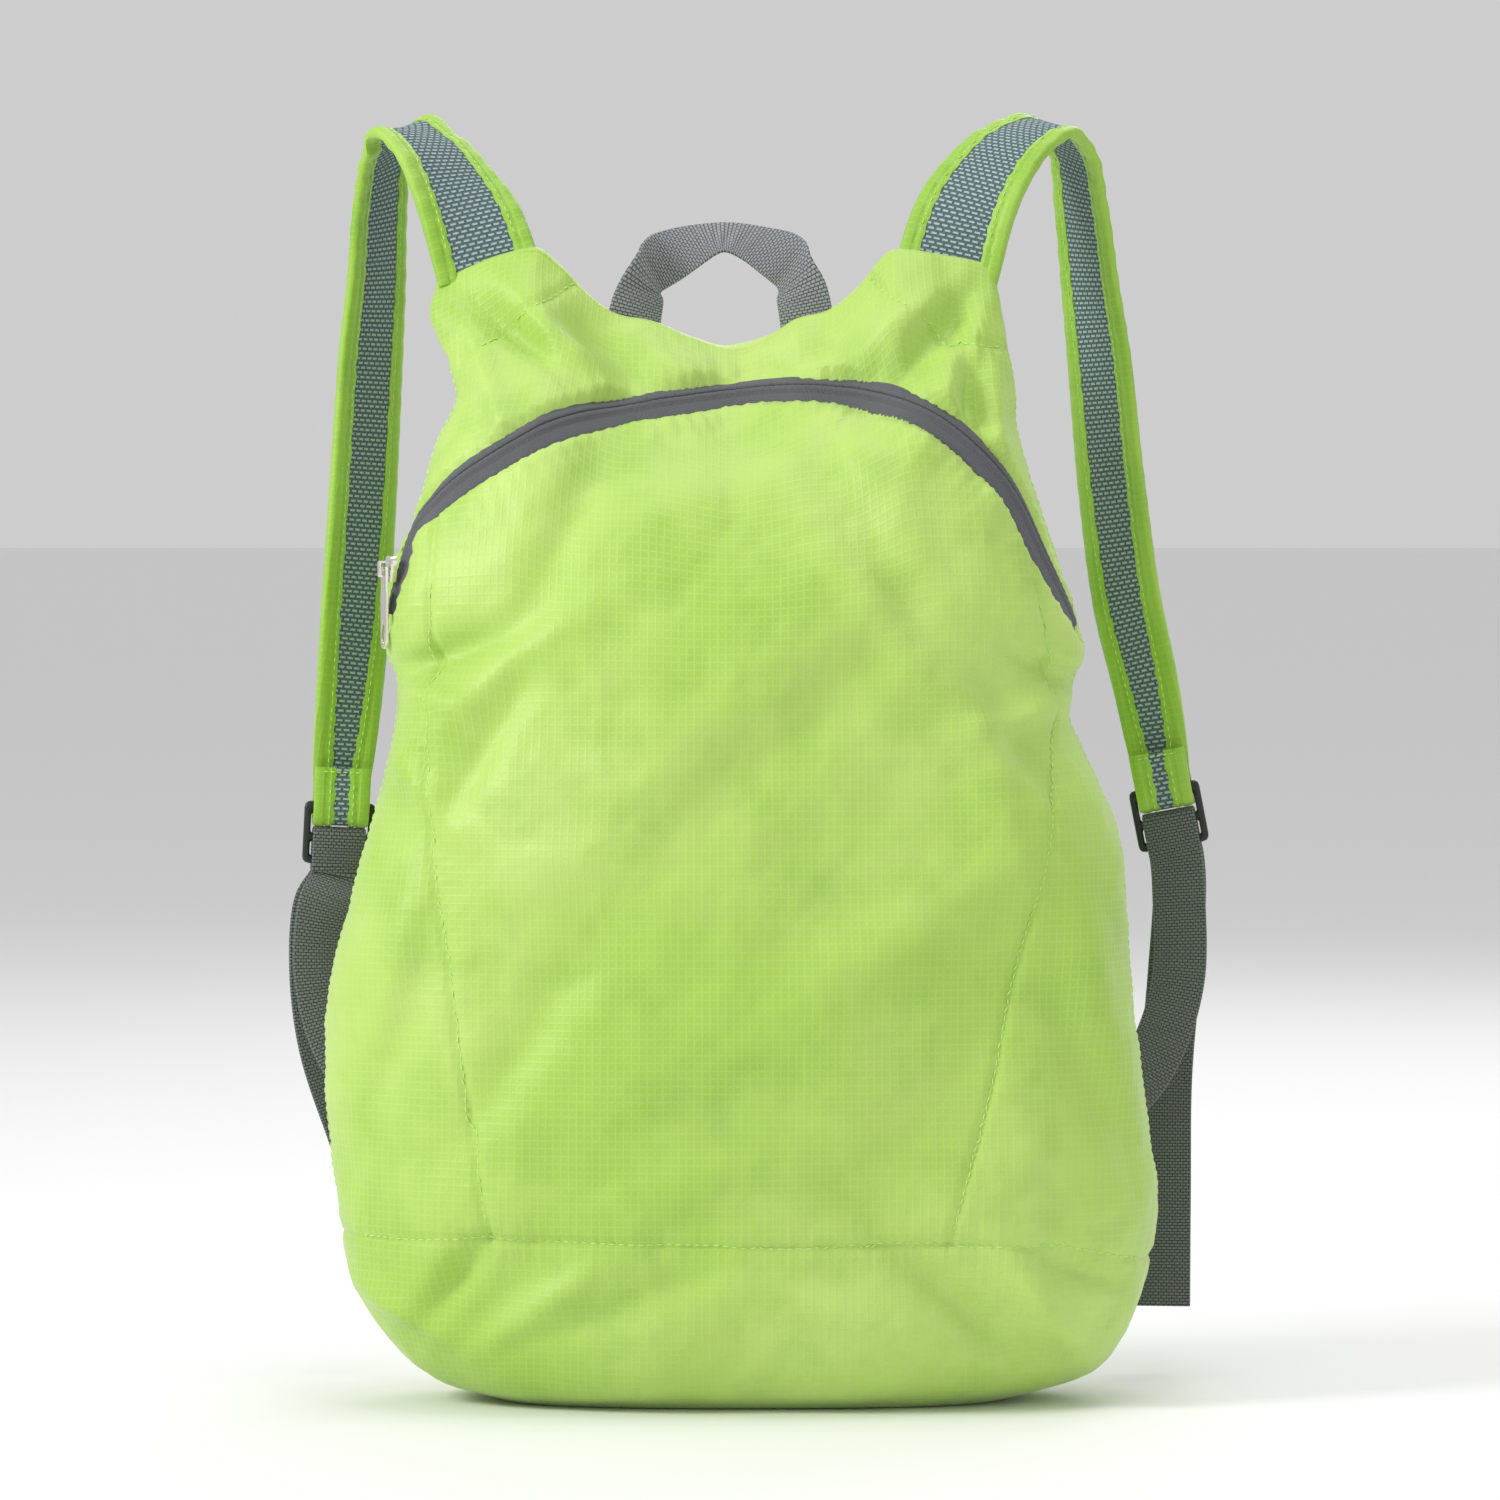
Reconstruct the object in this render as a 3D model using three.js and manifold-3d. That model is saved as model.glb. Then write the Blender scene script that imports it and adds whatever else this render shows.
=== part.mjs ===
// A packable backpack in thin ripstop nylon: a soft bag sewn from seven cloth pieces, an arched
// zip over its front, a webbing grab handle, and two bound mesh shoulder straps that end in
// ladder-lock buckles with webbing. Millimetres, +Z up, the zip side faces -Y, and the origin is
// the middle of the flat base that the bag stands on.
import * as THREE from "three";
import { mergeVertices } from "three/addons/utils/BufferGeometryUtils.js";
import Module from "manifold-3d";

const wasm = await Module();
wasm.setup();

// Driving sizes of the bag
const BAG_HEIGHT = 420;
const BAG_WIDTH = 301;
const BAG_DEPTH = 136;
const CLOTH = 1.5;
const GAP = 0.4;
const SQUARENESS = 2.5;

// Driving sizes of the zip
const TAPE_WIDTH = 11;
const COIL_WIDTH = 4.4;
const COIL_HEIGHT = 1.3;
const COIL_LIFT = 0.5;
const SLIDER_LENGTH = 9.5;
const SLIDER_WIDTH = 7.4;
const SLIDER_HEIGHT = 2.4;
const SLIDER_TURN = 20;
const SLIDER_LIFT = 1.6;
const SLIDER_PLACE = { across: -0.985, deep: -0.28, up: 0.728 };
const BRIDGE_WIDTH = 2;
const BRIDGE_BAR = 0.9;
const BRIDGE_CLEAR = 3;
const PULL_LENGTH = 29;
const PULL_WIDTH = 6.6;
const PULL_THICK = 1.1;
const PULL_BAR = 1.3;
const PULL_ARM = 1.7;
const PULL_EYE = 7;
const PULL_HOLE = 8;

// Driving sizes of the straps, webbing and buckles
const WEBBING_WIDTH = 20;
const WEBBING_THICK = 1.6;
const STRAP_WIDTH = 38;
const STRAP_END_WIDTH = 20.4;
const STRAP_THICK = 3.6;
const STRAP_END_THICK = 2.2;
const STRAP_FLAP = 16;
const BINDING_WIDTH = 7.5;
const SIDE_GAP = 0.7;
const BINDING_EXTRA = 0.8;
const BUCKLE_WALL = 2.6;
const BUCKLE_BAR = 3;
const BUCKLE_THICK = 3;
const BUCKLE_CLEAR = 0.6;
const BUCKLE_FIRST_SLOT = 7.5;
const BUCKLE_SECOND_SLOT = 5.5;

// The bag's level sections. up is a share of the height, left and right are shares of half the
// width, front and back are shares of the depth, measured from the origin.
const SECTIONS = [
  { up: 0.0, left: 0.6, right: 0.63, front: -0.27, back: 0.25 },
  { up: 0.016, left: 0.745, right: 0.79, front: -0.37, back: 0.33 },
  { up: 0.05, left: 0.86, right: 0.905, front: -0.45, back: 0.385 },
  { up: 0.094, left: 0.935, right: 0.965, front: -0.49, back: 0.42 },
  { up: 0.142, left: 0.98, right: 0.985, front: -0.505, back: 0.435 },
  { up: 0.19, left: 1.0, right: 1.0, front: -0.515, back: 0.44 },
  { up: 0.294, left: 1.02, right: 0.957, front: -0.52, back: 0.445 },
  { up: 0.381, left: 1.0, right: 0.933, front: -0.51, back: 0.44 },
  { up: 0.45, left: 0.948, right: 0.921, front: -0.495, back: 0.435 },
  { up: 0.52, left: 0.894, right: 0.88, front: -0.475, back: 0.425 },
  { up: 0.59, left: 0.85, right: 0.785, front: -0.45, back: 0.415 },
  { up: 0.62, left: 0.838, right: 0.797, front: -0.435, back: 0.41 },
  { up: 0.65, left: 0.865, right: 0.819, front: -0.42, back: 0.405 },
  { up: 0.694, left: 0.87, right: 0.79, front: -0.39, back: 0.395 },
  { up: 0.746, left: 0.836, right: 0.744, front: -0.34, back: 0.38 },
  { up: 0.798, left: 0.787, right: 0.702, front: -0.27, back: 0.36 },
  { up: 0.85, left: 0.751, right: 0.671, front: -0.18, back: 0.345 },
  { up: 0.892, left: 0.702, right: 0.661, front: -0.09, back: 0.33 },
  { up: 0.929, left: 0.727, right: 0.646, front: 0.0, back: 0.315 },
  { up: 0.968, left: 0.775, right: 0.627, front: 0.11, back: 0.3 },
  { up: 1.0, left: 0.76, right: 0.61, front: 0.2, back: 0.285 },
];

// The top edge: a share of the height over the place across, from -1 at the left to 1.
const TOP_EDGE = [
  { across: -1.0, up: 0.97 },
  { across: -0.9, up: 0.982 },
  { across: -0.68, up: 1.0 },
  { across: -0.6, up: 0.985 },
  { across: -0.5, up: 0.957 },
  { across: -0.42, up: 0.942 },
  { across: -0.3, up: 0.935 },
  { across: -0.18, up: 0.922 },
  { across: -0.05, up: 0.913 },
  { across: 0.1, up: 0.924 },
  { across: 0.2, up: 0.937 },
  { across: 0.34, up: 0.946 },
  { across: 0.46, up: 0.968 },
  { across: 0.56, up: 0.994 },
  { across: 0.62, up: 0.998 },
  { across: 0.8, up: 0.993 },
  { across: 0.97, up: 0.985 },
  { across: 1.0, up: 0.977 },
];

// Dents and folds of the cloth. across, up and the reach along and beside the fold are shares of
// half the width and of the height, lean is the fold's angle from level in degrees, and deep is a
// share of the depth, positive outwards.
const FOLDS = [
  { side: "front", across: -0.78, up: 0.63, along: 0.24, beside: 0.045, lean: 18, deep: -0.05 },
  { side: "front", across: -0.72, up: 0.57, along: 0.2, beside: 0.04, lean: -30, deep: 0.035 },
  { side: "front", across: 0.68, up: 0.61, along: 0.22, beside: 0.045, lean: -20, deep: -0.045 },
  { side: "front", across: -0.45, up: 0.9, along: 0.3, beside: 0.035, lean: -38, deep: -0.05 },
  { side: "front", across: 0.4, up: 0.9, along: 0.26, beside: 0.035, lean: 40, deep: -0.045 },
  { side: "front", across: 0.52, up: 0.86, along: 0.3, beside: 0.04, lean: -75, deep: 0.04 },
  { side: "front", across: -0.05, up: 0.62, along: 0.5, beside: 0.09, lean: 55, deep: 0.03 },
  { side: "front", across: 0.25, up: 0.5, along: 0.5, beside: 0.08, lean: -40, deep: -0.03 },
  { side: "front", across: -0.3, up: 0.3, along: 0.5, beside: 0.08, lean: 35, deep: 0.03 },
  { side: "front", across: 0.5, up: 0.3, along: 0.4, beside: 0.07, lean: 60, deep: -0.03 },
  { side: "front", across: -0.6, up: 0.09, along: 0.3, beside: 0.035, lean: 50, deep: -0.04 },
  { side: "front", across: 0.6, up: 0.08, along: 0.3, beside: 0.035, lean: -45, deep: -0.04 },
  { side: "back", across: -0.4, up: 0.75, along: 0.5, beside: 0.06, lean: 50, deep: -0.04 },
  { side: "back", across: 0.4, up: 0.72, along: 0.5, beside: 0.06, lean: -50, deep: -0.04 },
  { side: "back", across: 0.0, up: 0.4, along: 0.6, beside: 0.09, lean: 10, deep: -0.05 },
  { side: "back", across: -0.5, up: 0.2, along: 0.4, beside: 0.05, lean: -35, deep: 0.03 },
];

// Lines drawn on the front: shares of half the width and of the height.
const ZIP_LINE = [
  { across: -0.93, up: 0.66 },
  { across: -0.868, up: 0.716 },
  { across: -0.817, up: 0.753 },
  { across: -0.719, up: 0.791 },
  { across: -0.598, up: 0.82 },
  { across: -0.452, up: 0.847 },
  { across: -0.258, up: 0.862 },
  { across: -0.015, up: 0.875 },
  { across: 0.131, up: 0.878 },
  { across: 0.277, up: 0.873 },
  { across: 0.423, up: 0.857 },
  { across: 0.544, up: 0.827 },
  { across: 0.642, up: 0.788 },
  { across: 0.714, up: 0.737 },
  { across: 0.8, up: 0.675 },
  { across: 0.86, up: 0.62 },
];
const LEFT_SEAM = [
  { across: -0.7, up: 0.9 },
  { across: -0.756, up: 0.729 },
  { across: -0.756, up: 0.607 },
  { across: -0.744, up: 0.477 },
  { across: -0.707, up: 0.381 },
  { across: -0.659, up: 0.259 },
  { across: -0.61, up: 0.155 },
  { across: -0.57, up: 0.08 },
];
const RIGHT_SEAM = [
  { across: 0.64, up: 0.9 },
  { across: 0.69, up: 0.729 },
  { across: 0.727, up: 0.659 },
  { across: 0.739, up: 0.563 },
  { across: 0.714, up: 0.477 },
  { across: 0.629, up: 0.363 },
  { across: 0.581, up: 0.277 },
  { across: 0.484, up: 0.148 },
  { across: 0.44, up: 0.08 },
];
const BOTTOM_SEAM = [
  { across: -1.3, up: 0.142 },
  { across: -0.98, up: 0.146 },
  { across: -0.62, up: 0.151 },
  { across: 0.03, up: 0.146 },
  { across: 0.484, up: 0.146 },
  { across: 0.763, up: 0.14 },
  { across: 0.98, up: 0.126 },
  { across: 1.3, up: 0.12 },
];
const LEFT_CORNER_SEAM = [
  { across: -0.9, up: 0.895 },
  { across: -0.69, up: 0.901 },
  { across: -0.58, up: 0.935 },
  { across: -0.42, up: 0.972 },
  { across: -0.3, up: 1.02 },
];
const RIGHT_CORNER_SEAM = [
  { across: 0.2, up: 1.02 },
  { across: 0.33, up: 0.965 },
  { across: 0.45, up: 0.935 },
  { across: 0.54, up: 0.917 },
  { across: 0.75, up: 0.915 },
];

// Shoulder straps from the top edge to the buckle: shares of half the width, of the depth and of
// the height, with the strap's own turn about +Z and its tilt in degrees, and its width as a
// share of the way from the full width (0) to the width at the buckle (1).
const LEFT_STRAP = [
  { across: -0.631, back: 0.245, up: 0.98, turn: 4, tilt: 16, taper: 0 },
  { across: -0.676, back: 0.285, up: 1.029, turn: 24, tilt: 15, taper: 0 },
  { across: -0.719, back: 0.33, up: 1.06, turn: 42, tilt: 14, taper: 0 },
  { across: -0.78, back: 0.4, up: 1.093, turn: 62, tilt: 14, taper: 0 },
  { across: -0.848, back: 0.48, up: 1.108, turn: 74, tilt: 8, taper: 0.02 },
  { across: -0.895, back: 0.55, up: 1.088, turn: 70, tilt: 3, taper: 0.04 },
  { across: -0.914, back: 0.6, up: 1.04, turn: 64, tilt: 0, taper: 0.06 },
  { across: -0.923, back: 0.63, up: 0.98, turn: 60, tilt: 0, taper: 0.1 },
  { across: -0.938, back: 0.645, up: 0.911, turn: 54, tilt: 0, taper: 0.14 },
  { across: -0.957, back: 0.645, up: 0.798, turn: 48, tilt: 0, taper: 0.24 },
  { across: -0.979, back: 0.63, up: 0.677, turn: 39, tilt: 0, taper: 0.42 },
  { across: -0.996, back: 0.61, up: 0.6, turn: 28, tilt: 0, taper: 0.66 },
];
const RIGHT_STRAP = [
  { across: 0.49, back: 0.245, up: 0.98, turn: -4, tilt: -12, taper: 0 },
  { across: 0.535, back: 0.285, up: 1.033, turn: -22, tilt: -14, taper: 0 },
  { across: 0.588, back: 0.33, up: 1.068, turn: -38, tilt: -15, taper: 0 },
  { across: 0.661, back: 0.4, up: 1.098, turn: -54, tilt: -15, taper: 0 },
  { across: 0.75, back: 0.48, up: 1.112, turn: -66, tilt: -10, taper: 0.02 },
  { across: 0.812, back: 0.55, up: 1.09, turn: -68, tilt: -4, taper: 0.04 },
  { across: 0.838, back: 0.6, up: 1.04, turn: -64, tilt: 0, taper: 0.06 },
  { across: 0.86, back: 0.63, up: 0.975, turn: -60, tilt: 0, taper: 0.1 },
  { across: 0.885, back: 0.645, up: 0.905, turn: -54, tilt: 0, taper: 0.14 },
  { across: 0.914, back: 0.645, up: 0.798, turn: -48, tilt: 0, taper: 0.24 },
  { across: 0.953, back: 0.63, up: 0.69, turn: -39, tilt: 0, taper: 0.42 },
  { across: 0.999, back: 0.61, up: 0.615, turn: -28, tilt: 0, taper: 0.66 },
];
const LEFT_BUCKLE = { across: -1.016, back: 0.59, up: 0.503, turn: 8, lean: -3 };
const RIGHT_BUCKLE = { across: 1.047, back: 0.59, up: 0.518, turn: -8, lean: 11 };

// Webbing below each buckle, as the straps' tables: the fixed end first, up to the buckle, and
// then the loose tail from the buckle down.
const LEFT_ANCHOR = [
  { across: -0.72, back: 0.32, up: 0.2, turn: 26, tilt: 57 },
  { across: -0.86, back: 0.325, up: 0.235, turn: 14, tilt: 45 },
  { across: -1.0, back: 0.385, up: 0.29, turn: 8, tilt: 28 },
  { across: -1.06, back: 0.45, up: 0.36, turn: 16, tilt: 8 },
  { across: -1.05, back: 0.5, up: 0.42, turn: 14, tilt: 0 },
];
const LEFT_TAIL = [
  { across: -1.068, back: 0.63, up: 0.42, turn: 12, tilt: 4 },
  { across: -1.08, back: 0.61, up: 0.36, turn: 14, tilt: 2 },
  { across: -1.055, back: 0.58, up: 0.29, turn: 14, tilt: -6 },
  { across: -0.98, back: 0.56, up: 0.21, turn: 12, tilt: -12 },
  { across: -0.9, back: 0.55, up: 0.13, turn: 10, tilt: -12 },
];
const RIGHT_ANCHOR = [
  { across: 0.74, back: 0.3, up: 0.2, turn: -26, tilt: -57 },
  { across: 0.88, back: 0.3, up: 0.235, turn: -14, tilt: -45 },
  { across: 1.0, back: 0.385, up: 0.28, turn: -10, tilt: -28 },
  { across: 1.075, back: 0.48, up: 0.35, turn: -12, tilt: -6 },
  { across: 1.08, back: 0.54, up: 0.43, turn: -9, tilt: 8 },
];
const RIGHT_TAIL = [
  { across: 1.088, back: 0.64, up: 0.43, turn: -8, tilt: 6 },
  { across: 1.075, back: 0.67, up: 0.35, turn: -8, tilt: 0 },
  { across: 1.055, back: 0.66, up: 0.26, turn: -6, tilt: 0 },
  { across: 1.052, back: 0.65, up: 0.16, turn: -4, tilt: 0 },
  { across: 1.05, back: 0.64, up: 0.055, turn: -4, tilt: 0 },
];

// The grab handle: a webbing loop that stands on the top edge and turns on edge at its corners.
const HANDLE = [
  { across: -0.28, back: 0.25, up: 0.925, turn: 6, tilt: -10 },
  { across: -0.268, back: 0.255, up: 0.95, turn: 16, tilt: -24 },
  { across: -0.248, back: 0.27, up: 0.972, turn: 40, tilt: -52 },
  { across: -0.228, back: 0.31, up: 0.986, turn: 0, tilt: -84 },
  { across: -0.17, back: 0.36, up: 1.0, turn: -70, tilt: -62 },
  { across: -0.06, back: 0.385, up: 1.013, turn: -90, tilt: -34 },
  { across: 0.03, back: 0.37, up: 1.006, turn: -110, tilt: -44 },
  { across: 0.1, back: 0.32, up: 0.992, turn: -150, tilt: -70 },
  { across: 0.122, back: 0.285, up: 0.978, turn: -180, tilt: -80 },
  { across: 0.138, back: 0.262, up: 0.96, turn: -190, tilt: -34 },
  { across: 0.153, back: 0.25, up: 0.93, turn: -184, tilt: -14 },
];

// Counts of facets
const COLUMNS = 40;
const STRIP_STEPS = 3;
const FOLD_STEPS = 6;
const DIVIDER_STEPS = 14;
const TOLERANCE = 0.1;

const halfWidth = BAG_WIDTH / 2;
const group = new THREE.Group();

const COLOURS = {
  lime: [0xa6dc50, 0.55, 0],
  zip: [0x6d7076, 0.8, 0],
  webbing: [0x5b6463, 0.85, 0],
  mesh: [0x5f7a80, 0.9, 0],
  plastic: [0x17181a, 0.4, 0],
  metal: [0xc9c2b0, 0.25, 1],
};

// Smooth value of one column of a table at a place along another column.
function lookUp(rows, place, column, at) {
  const last = rows.length - 1;
  const clamped = THREE.MathUtils.clamp(at, rows[0][place], rows[last][place]);
  let i = 0;
  while (i < last - 1 && clamped > rows[i + 1][place]) i += 1;
  const slope = (j) => {
    const low = rows[Math.max(j - 1, 0)];
    const high = rows[Math.min(j + 1, last)];
    return (high[column] - low[column]) / (high[place] - low[place]);
  };
  const step = rows[i + 1][place] - rows[i][place];
  const t = (clamped - rows[i][place]) / step;
  const t2 = t * t;
  const t3 = t2 * t;
  return (
    (2 * t3 - 3 * t2 + 1) * rows[i][column] +
    (t3 - 2 * t2 + t) * step * slope(i) +
    (3 * t2 - 2 * t3) * rows[i + 1][column] +
    (t3 - t2) * step * slope(i + 1)
  );
}

// Relief of the dents and folds at a place on the front or the back.
function relief(side, x, z) {
  let out = 0;
  for (const fold of FOLDS) {
    if (fold.side !== side) continue;
    const dx = x - fold.across * halfWidth;
    const dz = z - fold.up * BAG_HEIGHT;
    const lean = THREE.MathUtils.degToRad(fold.lean);
    const along = (dx * Math.cos(lean) + dz * Math.sin(lean)) / (fold.along * halfWidth);
    const beside = (dz * Math.cos(lean) - dx * Math.sin(lean)) / (fold.beside * BAG_HEIGHT);
    out += fold.deep * BAG_DEPTH * Math.exp(-along * along - beside * beside);
  }
  return out;
}

// A point of the bag: across from -1 to 1, deep from -1 (front) to 1 (back), up from 0 to 1.
function place(across, deep, up) {
  const side = across < 0 ? "left" : "right";
  const front = lookUp(SECTIONS, "up", "front", up) * BAG_DEPTH;
  const back = lookUp(SECTIONS, "up", "back", up) * BAG_DEPTH;
  const top = lookUp(TOP_EDGE, "across", "up", across) - 1;
  const rise = THREE.MathUtils.smoothstep(up, 0.6, 1.0);
  const x = across * lookUp(SECTIONS, "up", side, up) * halfWidth;
  const z = (up + top * rise) * BAG_HEIGHT;
  const sheet = deep < 0 ? "front" : "back";
  const y = (front + back) / 2 + (deep * (back - front)) / 2 + deep * relief(sheet, x, z);
  return new THREE.Vector3(x, y, z);
}

// Shares across and deep of the columns round a section, evenly spaced along its girth.
function girth() {
  const quarter = COLUMNS / 4;
  const fine = 400;
  const corner = (i) => {
    const angle = (i / fine) * (Math.PI / 2);
    return [Math.cos(angle) ** (2 / SQUARENESS), Math.sin(angle) ** (2 / SQUARENESS)];
  };
  const lengths = [0];
  for (let i = 1; i <= fine; i += 1) {
    const [a, b] = [corner(i - 1), corner(i)];
    const step = Math.hypot((b[0] - a[0]) * BAG_WIDTH, (b[1] - a[1]) * BAG_DEPTH);
    lengths.push(lengths[i - 1] + step);
  }
  const points = [];
  for (let k = 0; k <= quarter; k += 1) {
    const goal = (k / quarter) * lengths[fine];
    const i = Math.min(lengths.findIndex((length) => length >= goal), fine);
    points.push(k === quarter ? [0, 1] : k === 0 ? [1, 0] : corner(i));
  }
  const ring = [];
  for (let k = 0; k < COLUMNS; k += 1) {
    const turn = Math.floor(k / quarter);
    const rest = k - turn * quarter;
    const [c, d] = points[turn % 2 ? quarter - rest : rest];
    ring.push([turn === 1 || turn === 2 ? -c : c, turn > 1 ? -d : d]);
  }
  return ring;
}
const RING = girth();

// Heights of the sections: those of the table, with one more between far ones.
const LEVELS = SECTIONS.flatMap(({ up }, i) => {
  const next = SECTIONS[i + 1];
  return next && next.up - up > 0.06 ? [up, (up + next.up) / 2] : [up];
});

// A closed solid from rings of points, each ring closed by a strip from its front to its back.
function loft(rings) {
  const count = rings[0].length;
  const positions = rings.flat().flatMap((p) => [p.x, p.y, p.z]);
  const faces = [];
  const quad = (a, b, c, d) => faces.push(a, b, c, a, c, d);
  for (let i = 0; i < rings.length - 1; i += 1) {
    for (let k = 0; k < count; k += 1) {
      const next = (k + 1) % count;
      const [low, high] = [i * count, (i + 1) * count];
      quad(low + k, low + next, high + next, high + k);
    }
  }
  const top = (rings.length - 1) * count;
  const cap = (start, up) => {
    const face = (a, b, c) => faces.push(...(up ? [a, b, c] : [a, c, b]));
    for (let k = 0; k < count / 2; k += 1) {
      const [a, b] = [start + k, start + k + 1];
      const [c, d] = [start + count - k - 1, start + ((count - k) % count)];
      if (c !== b) face(a, b, c);
      if (k > 0) face(a, c, d);
    }
  };
  cap(0, false);
  cap(top, true);
  return solidFrom(positions, faces);
}

function solidFrom(positions, faces) {
  return new wasm.Manifold(
    new wasm.Mesh({
      numProp: 3,
      vertProperties: new Float32Array(positions),
      triVerts: new Uint32Array(faces),
    }),
  );
}

// A three.js geometry as a solid.
function solid(geometry) {
  const bare = geometry.clone();
  for (const name of ["normal", "uv"]) bare.deleteAttribute(name);
  const merged = mergeVertices(bare, 1e-4);
  return solidFrom(merged.attributes.position.array, merged.index.array);
}

// The whole bag as one solid, grown outwards by an offset or shrunk by a negative one.
function bagForm(offset) {
  const grid = LEVELS.map((up) => RING.map(([across, deep]) => place(across, deep, up)));
  const last = grid.length - 1;
  const rings = grid.map((ring, i) =>
    ring.map((point, k) => {
      const round = ring[(k + 1) % COLUMNS].clone().sub(ring[(k + COLUMNS - 1) % COLUMNS]);
      const rise = grid[Math.min(i + 1, last)][k].clone().sub(grid[Math.max(i - 1, 0)][k]);
      const moved = point.clone().addScaledVector(round.cross(rise).normalize(), offset);
      if (i === 0) moved.z = -offset;
      if (i === last) moved.z = point.z + offset;
      return moved;
    }),
  );
  return loft(rings);
}

const atFront = ({ across, up }) => new THREE.Vector2(across * halfWidth, up * BAG_HEIGHT);

// A smooth line through the rows of a table drawn on the front.
function drawn(rows, steps = 3) {
  const curve = new THREE.SplineCurve(rows.map(atFront));
  return curve.getPoints((rows.length - 1) * steps);
}

// The line moved sideways by a distance, to its left as it runs.
function beside(line, distance) {
  return line.map((point, i) => {
    const ahead = line[Math.min(i + 1, line.length - 1)];
    const behind = line[Math.max(i - 1, 0)];
    const run = ahead.clone().sub(behind).normalize();
    return new THREE.Vector2(point.x - run.y * distance, point.y + run.x * distance);
  });
}

// A front outline pushed through the whole depth of the bag.
function prism(outline) {
  const reach = BAG_DEPTH * 2;
  const depth = reach * 2;
  const geometry = new THREE.ExtrudeGeometry(new THREE.Shape(outline), { depth, bevelEnabled: false });
  geometry.rotateX(Math.PI / 2);
  geometry.translate(0, reach, 0);
  return solid(geometry);
}

const band = (line, width) =>
  prism([...beside(line, width / 2), ...beside(line, -width / 2).reverse()]);

const corner = (across, up) => atFront({ across, up });

// Everything in front of the bag's middle surface, moved backwards by an offset.
function frontHalf(offset) {
  const rings = [];
  const steps = DIVIDER_STEPS * 2;
  for (let i = 0; i <= DIVIDER_STEPS + 2; i += 1) {
    const up = i / DIVIDER_STEPS - 1 / DIVIDER_STEPS;
    const middle = [];
    const near = [];
    for (let k = 0; k <= steps; k += 1) {
      const across = (1 - (2 * k) / steps) * 1.25;
      const inside = THREE.MathUtils.clamp(across, -1, 1);
      const at = place(inside, 0, THREE.MathUtils.clamp(up, 0, 1));
      at.x += (across - inside) * halfWidth;
      at.z += (up - THREE.MathUtils.clamp(up, 0, 1)) * BAG_HEIGHT;
      at.y += offset;
      middle.push(at);
      near.push(new THREE.Vector3(at.x, -BAG_DEPTH * 2, at.z));
    }
    rings.push([...middle, ...near.reverse()]);
  }
  return loft(rings);
}

// The main body of a solid that a cut has trimmed.
function largest(made) {
  return made.decompose().sort((a, b) => b.volume() - a.volume())[0];
}

function add(name, made, look) {
  const [color, roughness, metalness] = COLOURS[look];
  const { vertProperties, triVerts } = largest(made.simplify(TOLERANCE)).getMesh();
  const geometry = new THREE.BufferGeometry();
  geometry.setAttribute("position", new THREE.BufferAttribute(new Float32Array(vertProperties), 3));
  geometry.setIndex(new THREE.BufferAttribute(new Uint32Array(triVerts), 1));
  const mesh = new THREE.Mesh(geometry, new THREE.MeshStandardMaterial({ color, roughness, metalness }));
  mesh.name = name;
  group.add(mesh);
}

// The bag's cloth, cut along its seams into sewn pieces
const shell = bagForm(0).subtract(bagForm(-CLOTH));
const bagWithGap = bagForm(GAP);
const zipLine = drawn(ZIP_LINE);
const bottomLine = drawn(BOTTOM_SEAM);
const leftSeam = drawn(LEFT_SEAM);
const rightSeam = drawn(RIGHT_SEAM);

const floorOutline = [...bottomLine, corner(1.3, -0.1), corner(-1.3, -0.1)];
const belowSeam = prism(floorOutline);
const upper = shell.subtract(belowSeam).subtract(band(bottomLine, GAP));
const frontSheet = upper.intersect(frontHalf(-GAP / 2));
const overTheTop = [corner(1.3, 0.62), corner(1.3, 1.2), corner(-1.3, 1.2), corner(-1.3, 0.66)];
const aboveZip = prism([...zipLine, ...overTheTop]);
const seamCuts = band(leftSeam, GAP).add(band(rightSeam, GAP));
const underZip = frontSheet.subtract(aboveZip).subtract(band(zipLine, TAPE_WIDTH + 2 * GAP));
const overZip = frontSheet.intersect(aboveZip).subtract(band(zipLine, TAPE_WIDTH + 2 * GAP));
const middle = prism([...leftSeam, ...rightSeam.slice().reverse()]);
const leftOf = prism([...leftSeam, corner(-1.5, 0.08), corner(-1.5, 0.9)]);
const sides = underZip.subtract(middle).subtract(seamCuts);
const overTheLeft = [corner(-0.3, 1.2), corner(-1.5, 1.2), corner(-1.5, 0.895)];
const overTheRight = [corner(1.5, 0.915), corner(1.5, 1.2), corner(0.2, 1.2)];
const leftCorner = prism([...drawn(LEFT_CORNER_SEAM), ...overTheLeft]);
const rightCorner = prism([...drawn(RIGHT_CORNER_SEAM), ...overTheRight]);
const cornerCuts = band(drawn(LEFT_CORNER_SEAM), GAP).add(band(drawn(RIGHT_CORNER_SEAM), GAP));

add("bottom_panel", shell.intersect(belowSeam), "lime");
add("back_panel", upper.subtract(frontHalf(GAP / 2)), "lime");
add("front_panel", underZip.intersect(middle).subtract(seamCuts), "lime");
add("left_side_panel", sides.intersect(leftOf), "lime");
add("right_side_panel", sides.subtract(leftOf), "lime");
add("yoke", overZip.subtract(leftCorner).subtract(rightCorner).subtract(cornerCuts), "lime");
add("left_shoulder_corner", overZip.intersect(leftCorner).subtract(cornerCuts), "lime");
add("right_shoulder_corner", overZip.intersect(rightCorner).subtract(cornerCuts), "lime");
add("zip_tape", frontSheet.intersect(band(zipLine, TAPE_WIDTH)), "zip");

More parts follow.
